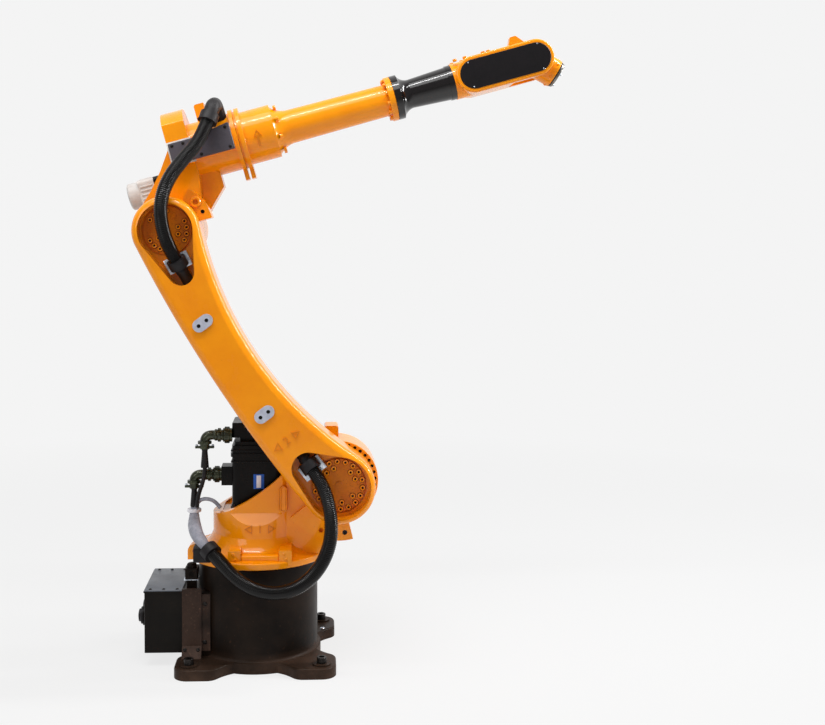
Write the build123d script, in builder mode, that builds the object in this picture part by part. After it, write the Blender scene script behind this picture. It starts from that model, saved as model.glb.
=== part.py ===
from build123d import *
from math import cos, pi, radians, sin, sqrt, tan
import os

# Six-axis industrial robot arm, in millimetres.
# The origin is where the first axis meets the floor. +X is forward, +Y is the motor side, +Z is up.

# Axes and the pose in which the arm is built
shoulder_x = 195.0
shoulder_z = 444.0
lower_length = 715.0
lower_lean = 33.7
elbow_offset = 170.0
forearm_reach = 953.0
forearm_rise = 15.5
wrist_bend = 45.5
hand_reach = 73.0

# Clearances shared by all pieces
running_gap = 0.4
arm_gap = 5.0
seat_gap = 0.2
overrun = 5.0

# Edge rounds shared by the castings, covers and motors
casting_round = 6.0
edge_round = 3.0
edge_break = 1.5

# Base casting
plate_side = 378.0
plate_thick = 25.0
plate_corner = 34.0
plate_recess = 57.0
plate_recess_radius = 108.0
plate_recess_round = 30.0
plate_edge = 5.0
anchor_spacing = 310.0
anchor_hole = 18.0
anchor_boss = 44.0
anchor_boss_height = 3.0
column_radius = 145.0
column_gap = 6.0
column_flare = 8.0
pedestal_radius = 112.0
pedestal_bore = 70.0
rear_length = 176.0
rear_half_width = 96.0
rear_drop = 72.0

# Connection box and the side brackets that carry it
box_length = 91.0
box_half_width = 93.0
box_low = 33.0
box_step = 3.0
box_round = 4.0
box_lid_thick = 3.0
box_lid_lap = 2.0
inlet_radius = 24.0
inlet_depth = 9.0
inlet_spacing = 76.0
bracket_length = 66.0
bracket_face = 46.0
bracket_thick = 9.0
bracket_strip_thick = 4.0
bracket_step = 11.0
bracket_bend = 14.0
bracket_foot = 18.0

# Turning stop on the base
stop_x = 157.0
stop_y = 62.0
stop_width = 30.0
stop_post_width = 22.0
stop_post = 26.0
stop_block = 26.0
stop_cap_radius = 12.0
stop_cap_squash_share = 0.9

# Carousel casting
flange_radius = 170.0
flange_drop = 194.0
flange_edge = 16.0
bowl_radius = 110.0
bowl_flare_drop = 136.0
bowl_flare_radius = 58.0
bowl_rise = 76.0
well_half_length = 84.0
well_half_width = 76.0
well_corner = 42.0
well_drop = 84.0
rim_left_drop = 92.0
rim_mid_drop = 52.0
rim_right_rise = 24.0
rim_mid_x = 26.0
rim_right_x = 72.0
cheek_near = 84.0
cheek_far = 68.0
cheek_foot_x = 150.0
cheek_foot_high = 12.0
hub_radius = 95.0
hub_depth = 110.0
hub_back_radius = 86.0
hub_back = 72.0
lug_width = 34.0
lug_height = 28.0
lug_depth = 60.0
lug_offset = 16.0
stop_arc_radius = 145.0
stop_arc_start = 218.0
stop_arc_end = 284.0
stop_arc_depth = 30.0
stop_hole_radius = 6.0
stop_hole_circle = 126.0
stop_hole_angles = (251.0, 277.0)
flange_boss_side = 30.0
flange_boss_high = 34.0
flange_boss_reach = 168.0
flange_boss_places = (-49.0, 70.0)
rib_width = 17.0
rib_length = 62.0
rib_x = 64.0
rib_drop = 44.0
rib_reach = 93.0
flat_y = 91.0
flat_drop = 78.0
shelf_reach = 24.0
shelf_drop = 34.0
ear_radius = 17.0
ear_hole = 6.0
ear_x = 146.0
ear_y = 96.0
ear_high = 28.0
ear_thick = 14.0

# Axis motors
motor_side = 128.0
motor_flange = 14.0
motor_body = 122.0
motor_corner = 16.0
motor_height = 148.0
motor_cap = 9.0
motor_cap_side = 112.0
motor_head_high = 36.0
motor_neck_side = 84.0
motor_head_width = 100.0
motor_socket_side = 46.0
motor_socket_reach = 88.0
motor_socket_high = 84.0
shoulder_motor_side = 108.0
shoulder_motor_drop = 24.0
side_motor_length = 128.0
side_motor_cap = 34.0
elbow_motor_side = 90.0
elbow_motor_length = 112.0
roll_motor_radius = 33.0
roll_motor_cap = 30.0
roll_motor_collar = 24.0

# Motor connectors
plug_nut_radius = 19.0
plug_nut_length = 23.0
plug_ring_radius = 16.0
plug_body_radius = 13.0
plug_drop = 26.0
plug_clamp_radius = 17.5
plug_boot_radius = 10.5
plug_boot_tip = 6.0
plug_boot_length = 46.0
sense_plug_high = 186.0
sense_plug_y = -42.0
sense_plug_reach = 66.0
power_plug_y = -10.0
power_plug_reach = 68.0
lead_radius = 5.0
bundle_radius = 15.0

# Lower arm
arm_front = 190.0
arm_back = 99.0
shoulder_lobe = 85.0
elbow_lobe = 78.0
arm_rear_radius = 3300.0
arm_front_radius = 850.0
arm_round = 18.0
pocket_depth = 46.0
shoulder_pocket = 74.0
shoulder_pocket_end = 39.0
shoulder_pocket_run = 78.0
shoulder_pocket_side = 33.0
elbow_pocket = 63.0
elbow_pocket_end = 30.0
elbow_pocket_run = 100.0
elbow_pocket_side = 23.0
shoulder_disc = 63.0
elbow_disc = 57.0
disc_proud = 3.0
disc_groove = 3.0
disc_spot_radius = 8.0
pad_length = 50.0
pad_width = 30.0
pad_thick = 5.0
pad_hole_spacing = 22.0
pad_hole = 8.5
pad_runs = (240.0, 492.0)
pad_side = 46.0
pad_tilt = 3.0

# Hose clamps
clamp_radius = 22.5
clamp_width = 22.0
clamp_leg_width = 24.0
clamp_leg_thick = 6.0
clamp_leg_reach = 26.0
collar_block = 40.0
collar_depth = 40.0
bundle_tail = 40.0
bundle_bend = 22.0
bundle_drop = 24.0
lead_drop = 24.0
lead_landing = (8.0, -12.0, 0.4)
elbow_rise = 22.0
elbow_over_along = 179.0
elbow_over_height = 92.0
elbow_over_y = -52.0
elbow_turn = 20.0
elbow_boot_radius = 18.0
top_strap_along = 146.0
top_strap_height = 62.0

# Upper arm casting, measured along and across the forearm from the elbow
elbow_hub = 75.0
elbow_hub_back = 62.0
block_start = 45.0
block_end = 99.0
block_high = 108.0
block_low = 30.0
block_half_width = 80.0
neck_radius = 70.0
neck_end = 201.0
ring_radius = 77.0
ring_width = 10.0
ring_groove = 5.0
ring_groove_radius = 71.0
ring_lug_width = 46.0
ring_lug_reach = 99.0
web_rear_points = ((45.0, 186.0), (13.0, 141.0), (-20.0, 103.0), (-61.0, 64.0))
web_front_points = ((88.0, 10.0), (110.0, 34.0), (147.0, 70.0), (147.0, 104.0))
near_web_points = ((74.0, 16.0), (91.0, 64.0), (99.0, 110.0), (99.0, 186.0))
near_web_front = 74.0
web_front = 38.0
web_back = 16.0
cover_start = 49.0
cover_end = 200.0
cover_low = 24.0
cover_high = 26.0
cover_slope = 14.0
cover_face = 96.0
cover_thick = 10.0
cover_pad_half = 20.0
gasket_thick = 2.0
gasket_lap = 4.0
gasket_end = 104.0
eye_start = 125.0
eye_width = 25.0
eye_high = 112.0
eye_half_depth = 22.0
eye_shift = 24.0
stopper_radius = 108.0
stopper_start = 16.0
stopper_end = 63.0
stopper_thick = 50.0
stopper_hole = 5.0
stopper_hole_angles = (28.0, 45.0)
roll_motor_drop = 60.0
roll_motor_y = 52.0
roll_motor_front = 20.0
roll_motor_length = 70.0

# Forearm, measured along its own axis from the elbow
drum_radius = 65.0
drum_end = 300.0
cone_end = 338.0
cone_radius = 60.0
cone_bend_share = 1.4
tube_rear = 41.0
tube_front = 38.5
tube_to_wrist = 368.0
tube_pocket_radius = 9.0
tube_pocket_circle = 56.0
tube_pocket_count = 8
collar_radius = 54.0
collar_width = 15.0
sleeve_to_wrist = 203.0
sleeve_rim = 54.0
sleeve_rim_width = 16.0
sleeve_neck = 35.0
sleeve_neck_run = 26.0
sleeve_neck_bend = 30.0
sleeve_barrel = 40.5
sleeve_flare = 42.5
sleeve_band = 13.0

# Wrist housing, head and tool flange
wrist_radius = 44.0
wrist_half_width = 58.0
wrist_round = 5.0
wrist_root_back = 20.0
fork_half_gap = 37.0
fork_root = 66.0
cover_span = 155.0
cover_plate_radius = 35.0
cover_recess = 2.0
cover_plate_thick = 4.0
cover_plate_chamfer = 1.0
bridge_start = 46.0
bridge_length = 30.0
bridge_height = 30.0
head_hub = 36.0
head_neck = 34.5
flange_thick = 8.0
tool_radius = 31.5
tool_pilot = 15.75
tool_pilot_depth = 5.0
tool_circle = 50.0
tool_screw = 5.0
tool_screw_depth = 7.0

# Hoses, from the ends that hold them, with the bow of each point off an eased line between the ends
hose_radius = 16.2
tangent_share = 0.45
collar_end = (36.0, -54.0, 20.0)
shoulder_end = (-73.0, -168.0, 58.0)
shoulder_hose_bow = (
    (26, -30, -27),
    (47, -46, -70),
    (69, -51, -112),
    (93, -52, -144),
    (114, -52, -159),
    (125, -54, -156),
    (124, -57, -141),
    (113, -59, -119),
    (91, -54, -91),
    (64, -39, -62),
    (33, -17, -32),
)
elbow_end_from = (31.7, -168.0, -83.8)
elbow_end_to = (96.7, -114.0, 271.2)
elbow_hose_bow = (
    (-22, -20, 26),
    (-41, -43, 34),
    (-56, -59, 32),
    (-60, -66, 22),
    (-53, -60, 4),
    (-39, -49, -18),
    (-23, -33, -33),
    (-11, -16, -29),
)

rise = radians(forearm_rise)
lean = radians(lower_lean)
elbow_x = shoulder_x - lower_length * sin(lean)
elbow_z = shoulder_z + lower_length * cos(lean)
along_dir = Vector(cos(rise), 0, sin(rise))
across_dir = Vector(-sin(rise), 0, cos(rise))
elbow = Vector(elbow_x, 0, elbow_z)
axis_start = elbow + across_dir * elbow_offset
wrist = axis_start + along_dir * forearm_reach
dip = radians(forearm_rise - wrist_bend)
hand_dir = Vector(cos(dip), 0, sin(dip))
forearm_axis = Axis(axis_start, along_dir)
across_axis = Axis(axis_start, across_dir)
near_side = (0, -1, 0)
hub_reach = arm_back - arm_gap
rim_left_z = shoulder_z - rim_left_drop
rim_mid_z = shoulder_z - rim_mid_drop
rim_right_z = shoulder_z + rim_right_rise
flat_z = shoulder_z - flat_drop
flange_low = shoulder_z - flange_drop
column_top = flange_low - column_gap
rear_top = flange_low - rear_drop
box_high = rear_top + box_step
bracket_top = rear_top + bracket_step
stop_block_low = rear_top + stop_post
stop_block_high = stop_block_low + stop_block
ear_z = flange_low + ear_high
cheek_foot_z = flange_low + cheek_foot_high
bowl_flare_z = shoulder_z - bowl_flare_drop
bowl_top = shoulder_z + bowl_rise
rib_z = shoulder_z - rib_drop
well_floor = shoulder_z - well_drop
motor_socket_z = well_floor + motor_socket_high
sense_plug_z = well_floor + sense_plug_high
tube_end = forearm_reach - tube_to_wrist
sleeve_end = forearm_reach - sleeve_to_wrist
ear = Vector(-ear_x, -ear_y, ear_z)
boot_drop = plug_drop + plug_body_radius / 2 + plug_boot_length
hub_front = -hub_reach


def side_plane(y):
    """The upright plane of the arm at depth y, seen from -Y, with its origin on the first axis."""
    return Plane(origin=(0, y, 0), x_dir=(1, 0, 0), z_dir=near_side)


def lower_plane(y):
    """At the shoulder: X runs to the elbow, Y to the rear."""
    return Plane(origin=(shoulder_x, y, shoulder_z), x_dir=(-sin(lean), 0, cos(lean)), z_dir=near_side)


def upper_plane(y):
    """At the elbow: X runs along the forearm, Y up across it."""
    return Plane(origin=elbow + Vector(0, y, 0), x_dir=along_dir, z_dir=near_side)


def roll_plane(along):
    """Across the forearm's own axis: X to the far side, Y up."""
    return Plane(origin=axis_start + along_dir * along, x_dir=(0, 1, 0), z_dir=along_dir)


def hand_plane(reach):
    """Across the tool axis."""
    return Plane(origin=wrist + hand_dir * reach, x_dir=(0, 1, 0), z_dir=hand_dir)


def tangent_centre(shoulder_reach, elbow_reach):
    """Centre of an edge arc of the lower arm, at these distances from its two ends, on the front side."""
    run = (lower_length**2 + shoulder_reach**2 - elbow_reach**2) / (2 * lower_length)
    return Vector(run, -sqrt(shoulder_reach**2 - run**2))


def save(piece, name):
    piece.part.label = name
    export_step(piece.part, f"parts/{name}.step")


def hose_route(start, end, bow):
    """Points from start to end, each off an eased line between them by its bow."""
    points = [start]
    for i, off in enumerate(bow):
        part_share = (i + 1) / (len(bow) + 1)
        eased_share = part_share**2 * (3 - 2 * part_share)
        points.append(start + (end - start) * eased_share + Vector(*off))
    return [*points, end]


def bend_radii(points):
    """Radii of the arcs between straight runs, each as large as the runs allow."""
    radii = []
    for before, here, after in zip(points, points[1:], points[2:]):
        turn = radians((here - before).get_angle(after - here))
        shorter = min((here - before).length, (after - here).length)
        radii.append(tangent_share * shorter / tan(turn / 2))
    return radii


shoulder_point = Vector(shoulder_x, 0, shoulder_z)
shoulder_hose_route = hose_route(
    ear + Vector(*collar_end),
    shoulder_point + Vector(*shoulder_end),
    shoulder_hose_bow,
)
elbow_hose_route = hose_route(
    elbow + Vector(*elbow_end_from),
    elbow + Vector(*elbow_end_to),
    elbow_hose_bow,
)
os.makedirs("parts", exist_ok=True)

# Base casting: a plate with four feet, a round column and a square rear end
with BuildPart() as base_casting:
    with BuildSketch() as plate:
        Rectangle(plate_side, plate_side)
        fillet(plate.vertices(), plate_corner)
        recess_centre = plate_side / 2 - plate_recess + plate_recess_radius
        with PolarLocations(recess_centre, 4):
            Circle(plate_recess_radius, mode=Mode.SUBTRACT)
        corner_start = plate_side / 2 - plate_corner - overrun
        recess_corners = plate.vertices().filter_by(lambda v: min(abs(v.X), abs(v.Y)) < corner_start)
        fillet(recess_corners, plate_recess_round)
    extrude(amount=plate_thick)
    fillet(base_casting.faces().sort_by(Axis.Z)[-1].edges(), plate_edge)
    with BuildSketch(Plane.XZ) as column:
        with BuildLine():
            Polyline(
                (column_radius, plate_thick + column_flare),
                (column_radius, column_top - edge_round),
                (column_radius - edge_round, column_top),
                (pedestal_radius, column_top),
                (pedestal_radius, flange_low - running_gap),
                (pedestal_bore, flange_low - running_gap),
                (pedestal_bore, 0),
                (column_radius, 0),
                (column_radius + column_flare, 0),
                (column_radius + column_flare, plate_thick),
            )
            RadiusArc(
                (column_radius + column_flare, plate_thick),
                (column_radius, plate_thick + column_flare),
                column_flare,
            )
        make_face()
    revolve(axis=Axis.Z)
    with BuildSketch(Plane.XY.offset(plate_thick)) as rear_end:
        with Locations((-rear_length / 2, 0)):
            Rectangle(rear_length, 2 * rear_half_width)
        fillet(rear_end.vertices().group_by(Axis.X)[0], edge_round)
        Circle(pedestal_radius, mode=Mode.SUBTRACT)
    extrude(amount=rear_top - plate_thick)
    with BuildSketch(Plane.XY.offset(plate_thick)):
        with GridLocations(anchor_spacing, anchor_spacing, 2, 2):
            Circle(anchor_boss / 2)
    extrude(amount=anchor_boss_height)
    with BuildSketch():
        with GridLocations(anchor_spacing, anchor_spacing, 2, 2):
            Circle(anchor_hole / 2)
    extrude(amount=plate_thick + anchor_boss_height, mode=Mode.SUBTRACT)
save(base_casting, "base_casting")

# Connection box behind the base, with its lid and the two cable inlets
box_rear = -rear_length - box_length
with BuildPart() as connection_box:
    with BuildSketch(Plane.XY.offset(box_low)) as box_plan:
        with Locations((-rear_length - box_length / 2, 0)):
            Rectangle(box_length, 2 * box_half_width)
        fillet(box_plan.vertices().group_by(Axis.X)[0], box_round)
    extrude(amount=box_high - box_low - box_lid_thick)
    with BuildSketch(Plane.XY.offset(box_high - box_lid_thick)) as lid_plan:
        with Locations((-rear_length - (box_length + box_lid_lap) / 2, 0)):
            Rectangle(box_length + box_lid_lap, 2 * (box_half_width + box_lid_lap))
        fillet(lid_plan.vertices().group_by(Axis.X)[0], box_round)
    extrude(amount=box_lid_thick)
    fillet(connection_box.faces().sort_by(Axis.Z)[-1].edges(), edge_break)
    inlet_z = (box_low + box_high) / 2
    with BuildSketch(Plane(origin=(box_rear, 0, inlet_z), x_dir=(0, 1, 0), z_dir=(-1, 0, 0))):
        with GridLocations(inlet_spacing, 0, 2, 1):
            Circle(inlet_radius)
    extrude(amount=inlet_depth)
save(connection_box, "connection_box")

# Bent side brackets over the rear end, one on each side
for side, name in ((-1, "near_bracket"), (1, "far_bracket")):
    wall = side * (rear_half_width + seat_gap)
    with BuildPart() as bracket:
        bracket_plane = Plane(origin=(-rear_length, wall, plate_thick), x_dir=(1, 0, 0), z_dir=(0, side, 0))
        up = -side
        with BuildSketch(bracket_plane) as face:
            with BuildLine():
                Polyline(
                    (0, 0),
                    (0, up * (bracket_top - plate_thick)),
                    (bracket_face, up * (bracket_top - plate_thick)),
                    (bracket_face, 0),
                    close=True,
                )
            make_face()
        extrude(amount=bracket_thick)
        with BuildSketch(bracket_plane) as strip:
            with BuildLine():
                Polyline(
                    (bracket_face, up * bracket_bend),
                    (bracket_face, up * (bracket_top - plate_thick - bracket_bend)),
                    (bracket_length, up * (bracket_top - plate_thick - bracket_bend)),
                    (bracket_length, up * bracket_bend),
                    close=True,
                )
            make_face()
        extrude(amount=bracket_strip_thick)
        foot_corner = (-rear_length, wall, plate_thick)
        with BuildSketch(Plane(origin=foot_corner, x_dir=(0, side, 0), z_dir=(1, 0, 0))) as foot:
            with BuildLine():
                foot_up = side
                Polyline(
                    (bracket_thick, foot_up * (2 * bracket_bend)),
                    (bracket_thick, 0),
                    (bracket_thick + bracket_foot, 0),
                    (bracket_thick + bracket_foot, foot_up * anchor_boss_height),
                    close=True,
                )
            make_face()
        extrude(amount=bracket_face)
    save(bracket, name)

# Turning stop: a post on the rear end, with a block and a domed rubber cap
with BuildPart() as turn_stop:
    with BuildSketch(Plane.XY.offset(rear_top)):
        with Locations((-stop_x, -stop_y)):
            Rectangle(stop_post_width, stop_post_width)
    extrude(amount=stop_block_low - rear_top)
    with BuildSketch(Plane.XY.offset(stop_block_low)) as stop_plan:
        with Locations((-stop_x, -stop_y)):
            Rectangle(stop_width, stop_width)
        fillet(stop_plan.vertices(), edge_round)
    extrude(amount=stop_block_high - stop_block_low)
    with BuildSketch(Plane.XY.offset(stop_block_high)):
        with Locations((-stop_x, -stop_y)):
            Circle(stop_cap_radius)
    extrude(amount=stop_cap_radius * stop_cap_squash_share)
    fillet(turn_stop.faces().sort_by(Axis.Z)[-1].edges(), stop_cap_radius / 2)
save(turn_stop, "turn_stop")

# Carousel casting: a flared bowl round the first motor, and a cheek that carries the shoulder hub
with BuildPart() as carousel_casting:
    with BuildSketch(Plane.XZ) as bowl:
        with BuildLine():
            Polyline(
                (bowl_radius, bowl_flare_z),
                (bowl_radius, bowl_top),
                (0, bowl_top),
                (0, flange_low),
                (flange_radius, flange_low),
                (flange_radius, flange_low + flange_edge),
            )
            RadiusArc(
                (flange_radius, flange_low + flange_edge),
                (bowl_radius, bowl_flare_z),
                bowl_flare_radius,
            )
        make_face()
    revolve(axis=Axis.Z)
    flange_rims = carousel_casting.edges().filter_by(GeomType.CIRCLE).group_by(SortBy.RADIUS)[-1]
    fillet(flange_rims, edge_round)
    with BuildSketch(Plane.XZ) as rim:
        with BuildLine():
            ThreePointArc(
                (-bowl_radius - overrun, rim_left_z),
                (-rim_mid_x, rim_mid_z),
                (rim_right_x, rim_right_z),
            )
            Polyline(
                (rim_right_x, rim_right_z),
                (bowl_radius + overrun, rim_right_z),
                (bowl_radius + overrun, bowl_top + overrun),
                (-bowl_radius - overrun, bowl_top + overrun),
                (-bowl_radius - overrun, rim_left_z),
            )
        make_face()
    extrude(amount=bowl_radius + overrun, both=True, mode=Mode.SUBTRACT)
    with BuildSketch(Plane.YZ) as flat:
        with BuildLine():
            Polyline(
                (-flat_y, bowl_top),
                (-flat_y, flat_z),
                (-flat_y - shelf_reach, flat_z - shelf_drop),
                (-flat_y - shelf_reach, bowl_top),
                close=True,
            )
        make_face()
    extrude(amount=bowl_radius, both=True, mode=Mode.SUBTRACT)
    with BuildSketch(Plane.XZ) as cheek:
        with Locations((shoulder_x, shoulder_z)):
            Circle(hub_back_radius)
        with BuildLine(mode=Mode.PRIVATE) as cheek_foot:
            Polyline(
                (0, flange_low + flange_edge),
                (cheek_foot_x, cheek_foot_z),
                (cheek_foot_x, flange_low + flange_edge),
                (rim_right_x, rim_right_z),
                close=True,
            )
        make_hull(edges=cheek.edges() + cheek_foot.edges())
    extrude(amount=cheek_near)
    with BuildSketch(Plane.XZ) as cheek_rear:
        add(cheek.sketch)
    extrude(amount=-cheek_far)
    with BuildSketch(side_plane(hub_front + hub_depth)) as hub:
        with Locations((shoulder_x, shoulder_z)):
            Circle(hub_radius)
    extrude(amount=hub_depth)
    fillet(carousel_casting.faces(Select.LAST).sort_by(Axis.Y)[0].edges(), edge_break)
    with BuildSketch(side_plane(hub_back)) as hub_rear:
        with Locations((shoulder_x, shoulder_z)):
            Circle(hub_back_radius)
    extrude(amount=hub_back + hub_front + hub_depth)
    with BuildSketch(side_plane(hub_front + hub_depth)) as hub_lug:
        with Locations((shoulder_x - lug_offset, shoulder_z + hub_radius)):
            Rectangle(lug_width, 2 * lug_height)
        fillet(hub_lug.vertices().group_by(Axis.Z)[-1], casting_round)
    extrude(amount=lug_depth)
    with BuildSketch(side_plane(hub_front + stop_arc_depth)) as stop_arc:
        with BuildLine():
            for arc_radius in (stop_arc_radius, hub_back_radius):
                CenterArc((shoulder_x, shoulder_z), arc_radius, stop_arc_start, stop_arc_end - stop_arc_start)
            for angle in (stop_arc_start, stop_arc_end):
                PolarLine((shoulder_x, shoulder_z), stop_arc_radius, angle)
        make_hull()
        with Locations((shoulder_x, shoulder_z)):
            for angle in stop_hole_angles:
                with PolarLocations(stop_hole_circle, 1, angle):
                    Circle(stop_hole_radius, mode=Mode.SUBTRACT)
    extrude(amount=stop_arc_depth)
    with BuildSketch(side_plane(0)) as bosses:
        for place in flange_boss_places:
            with Locations((place, flange_low + flange_boss_high / 2 + flange_edge / 2)):
                Rectangle(flange_boss_side, flange_boss_high)
        fillet(bosses.vertices(), edge_round)
    extrude(amount=flange_boss_reach - flange_edge)
    with BuildSketch(side_plane(0)) as rib:
        with Locations((rib_x, rib_z)):
            SlotOverall(rib_length, rib_width, rotation=90)
    extrude(amount=rib_reach)
    with BuildSketch(side_plane(-ear_y + ear_thick)) as ear:
        with Locations((-ear_x, ear_z)):
            Circle(ear_radius)
        with Locations((-ear_x, (ear_z + flange_low + flange_edge / 2) / 2)):
            Rectangle(2 * ear_radius, ear_z - flange_low - flange_edge / 2)
        with Locations((-ear_x, ear_z)):
            Circle(ear_hole, mode=Mode.SUBTRACT)
    extrude(amount=ear_thick)
    with BuildSketch(Plane.XY.offset(well_floor)) as well:
        Rectangle(2 * well_half_length, 2 * well_half_width)
        fillet(well.vertices(), well_corner)
    extrude(amount=bowl_top, mode=Mode.SUBTRACT)
save(carousel_casting, "carousel_casting")

# First axis motor, standing in the bowl
motor_top = well_floor + motor_flange + motor_height
with BuildPart() as turn_motor:
    with BuildSketch(Plane.XY.offset(well_floor)) as motor_foot:
        Rectangle(motor_side, motor_side)
        chamfer(motor_foot.vertices(), motor_corner)
    extrude(amount=motor_flange)
    with BuildSketch(Plane.XY.offset(well_floor + motor_flange)) as motor_case:
        Rectangle(motor_body, motor_body)
        fillet(motor_case.vertices(), motor_corner)
    extrude(amount=motor_height)
    with BuildSketch(Plane.XY.offset(motor_top)) as motor_lid:
        Rectangle(motor_cap_side, motor_cap_side)
        fillet(motor_lid.vertices(), motor_corner)
    extrude(amount=motor_cap)
    with BuildSketch(Plane.XY.offset(motor_top - 3 * motor_cap)) as motor_rim:
        Rectangle(motor_side, motor_side)
        fillet(motor_rim.vertices(), motor_corner)
    extrude(amount=motor_cap)
    with BuildSketch(Plane.XY.offset(motor_top + motor_cap)) as motor_neck:
        Rectangle(motor_neck_side, motor_neck_side)
    extrude(amount=motor_cap)
    with BuildSketch(Plane.XY.offset(motor_top + 2 * motor_cap)) as motor_head:
        Rectangle(motor_body, motor_head_width)
        fillet(motor_head.vertices(), motor_corner / 2)
    extrude(amount=motor_head_high)
    fillet(turn_motor.faces().sort_by(Axis.Z)[-1].edges(), edge_round)
    with BuildSketch(Plane(origin=(0, power_plug_y, motor_socket_z), x_dir=(0, 1, 0), z_dir=(-1, 0, 0))):
        Rectangle(motor_socket_side, motor_socket_side)
    extrude(amount=motor_socket_reach)
save(turn_motor, "turn_motor")

# Elbow connectors on the motor, each a revolved run, an elbow and a tapered boot
plug_places = {
    "sense_connector": (motor_body / 2, sense_plug_y, sense_plug_z, sense_plug_reach),
    "power_connector": (motor_socket_reach, power_plug_y, motor_socket_z, power_plug_reach),
}
for name, (start, y, z, reach) in plug_places.items():
    with BuildPart() as connector:
        run_plane = Plane(origin=(-start, y, z), x_dir=(0, 1, 0), z_dir=(-1, 0, 0))
        with BuildSketch(run_plane):
            RegularPolygon(plug_nut_radius, 12)
        extrude(amount=plug_nut_length)
        with BuildSketch(run_plane.offset(plug_nut_length)):
            Circle(plug_ring_radius)
        extrude(amount=plug_nut_length / 2)
        with BuildSketch(run_plane.offset(plug_nut_length)):
            Circle(plug_body_radius)
        extrude(amount=reach - plug_nut_length)
        drop_plane = Plane(origin=(-start - reach, y, z), x_dir=(1, 0, 0), z_dir=(0, 0, -1))
        with BuildSketch(drop_plane.offset(-plug_body_radius)):
            Circle(plug_body_radius)
        extrude(amount=plug_body_radius + plug_drop)
        with BuildSketch(drop_plane.offset(plug_drop - plug_body_radius)):
            RegularPolygon(plug_ring_radius, 12)
        extrude(amount=plug_body_radius)
        with BuildSketch(drop_plane.offset(plug_drop)):
            Circle(plug_clamp_radius)
        extrude(amount=plug_body_radius / 2)
        with BuildSketch(drop_plane.offset(plug_drop + plug_body_radius / 2)):
            Circle(plug_boot_radius)
        with BuildSketch(drop_plane.offset(plug_drop + plug_body_radius / 2 + plug_boot_length)):
            Circle(plug_boot_tip)
        loft()
    save(connector, name)

# Shoulder motor on the far side of the hub
with BuildPart() as shoulder_motor:
    motor_centre = (shoulder_x, hub_back, shoulder_z - shoulder_motor_drop)
    rear_face = Plane(origin=motor_centre, x_dir=(1, 0, 0), z_dir=(0, 1, 0))
    with BuildSketch(rear_face) as shoulder_flange:
        Rectangle(shoulder_motor_side + motor_corner / 2, shoulder_motor_side + motor_corner / 2)
        chamfer(shoulder_flange.vertices(), motor_corner)
    extrude(amount=motor_flange)
    with BuildSketch(rear_face.offset(motor_flange)) as shoulder_case:
        Rectangle(shoulder_motor_side, shoulder_motor_side)
        fillet(shoulder_case.vertices(), motor_corner)
    extrude(amount=side_motor_length)
    with BuildSketch(rear_face.offset(motor_flange + side_motor_length)) as shoulder_cap:
        Rectangle(shoulder_motor_side - motor_cap, shoulder_motor_side - motor_cap)
        fillet(shoulder_cap.vertices(), motor_corner)
    extrude(amount=side_motor_cap)
    fillet(shoulder_motor.faces().sort_by(Axis.Y)[-1].edges(), casting_round)
save(shoulder_motor, "shoulder_motor")

# Lower arm casting: a bowed arm with an open pocket at each end
with BuildPart() as lower_arm:
    rear_centre = tangent_centre(arm_rear_radius - shoulder_lobe, arm_rear_radius - elbow_lobe)
    front_centre = tangent_centre(arm_front_radius + shoulder_lobe, arm_front_radius + elbow_lobe)
    elbow_end = Vector(lower_length, 0)
    with BuildSketch(lower_plane(-arm_back)) as arm_outline:
        with BuildLine():
            rear_edge = ThreePointArc(
                -rear_centre.normalized() * shoulder_lobe,
                rear_centre + Vector(0, arm_rear_radius),
                elbow_end + (elbow_end - rear_centre).normalized() * elbow_lobe,
            )
            front_edge = ThreePointArc(
                front_centre.normalized() * shoulder_lobe,
                front_centre + Vector(0, arm_front_radius),
                elbow_end + (front_centre - elbow_end).normalized() * elbow_lobe,
            )
            ThreePointArc(rear_edge @ 0, (-shoulder_lobe, 0), front_edge @ 0)
            ThreePointArc(rear_edge @ 1, (lower_length + elbow_lobe, 0), front_edge @ 1)
        make_face()
    extrude(amount=arm_front - arm_back)
    fillet(lower_arm.faces().sort_by(Axis.Y)[0].edges(), arm_round)
    fillet(lower_arm.faces().sort_by(Axis.Y)[-1].edges(), edge_round)
    with BuildSketch(lower_plane(-arm_front)) as shoulder_opening:
        with BuildLine(mode=Mode.PRIVATE) as shoulder_rings:
            CenterArc((0, 0), shoulder_pocket, 0, 360)
            CenterArc((shoulder_pocket_run, shoulder_pocket_side), shoulder_pocket_end, 0, 360)
        make_hull(edges=shoulder_rings.edges())
    extrude(amount=-pocket_depth, mode=Mode.SUBTRACT)
    with BuildSketch(lower_plane(-arm_front)) as elbow_opening:
        with BuildLine(mode=Mode.PRIVATE) as elbow_rings:
            CenterArc((lower_length, 0), elbow_pocket, 0, 360)
            CenterArc((lower_length - elbow_pocket_run, elbow_pocket_side), elbow_pocket_end, 0, 360)
        make_hull(edges=elbow_rings.edges())
    extrude(amount=-pocket_depth, mode=Mode.SUBTRACT)
    with BuildSketch(lower_plane(-arm_front)) as disc_bores:
        Circle(shoulder_disc + disc_groove)
        with Locations((lower_length, 0)):
            Circle(elbow_disc + disc_groove)
    extrude(amount=-(pocket_depth + disc_proud), mode=Mode.SUBTRACT)
    with BuildSketch(lower_plane(-arm_front)) as disc_seats:
        Circle(shoulder_disc + seat_gap)
        with Locations((lower_length, 0)):
            Circle(elbow_disc + seat_gap)
    extrude(amount=-(arm_front - arm_back), mode=Mode.SUBTRACT)
save(lower_arm, "lower_arm")

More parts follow.
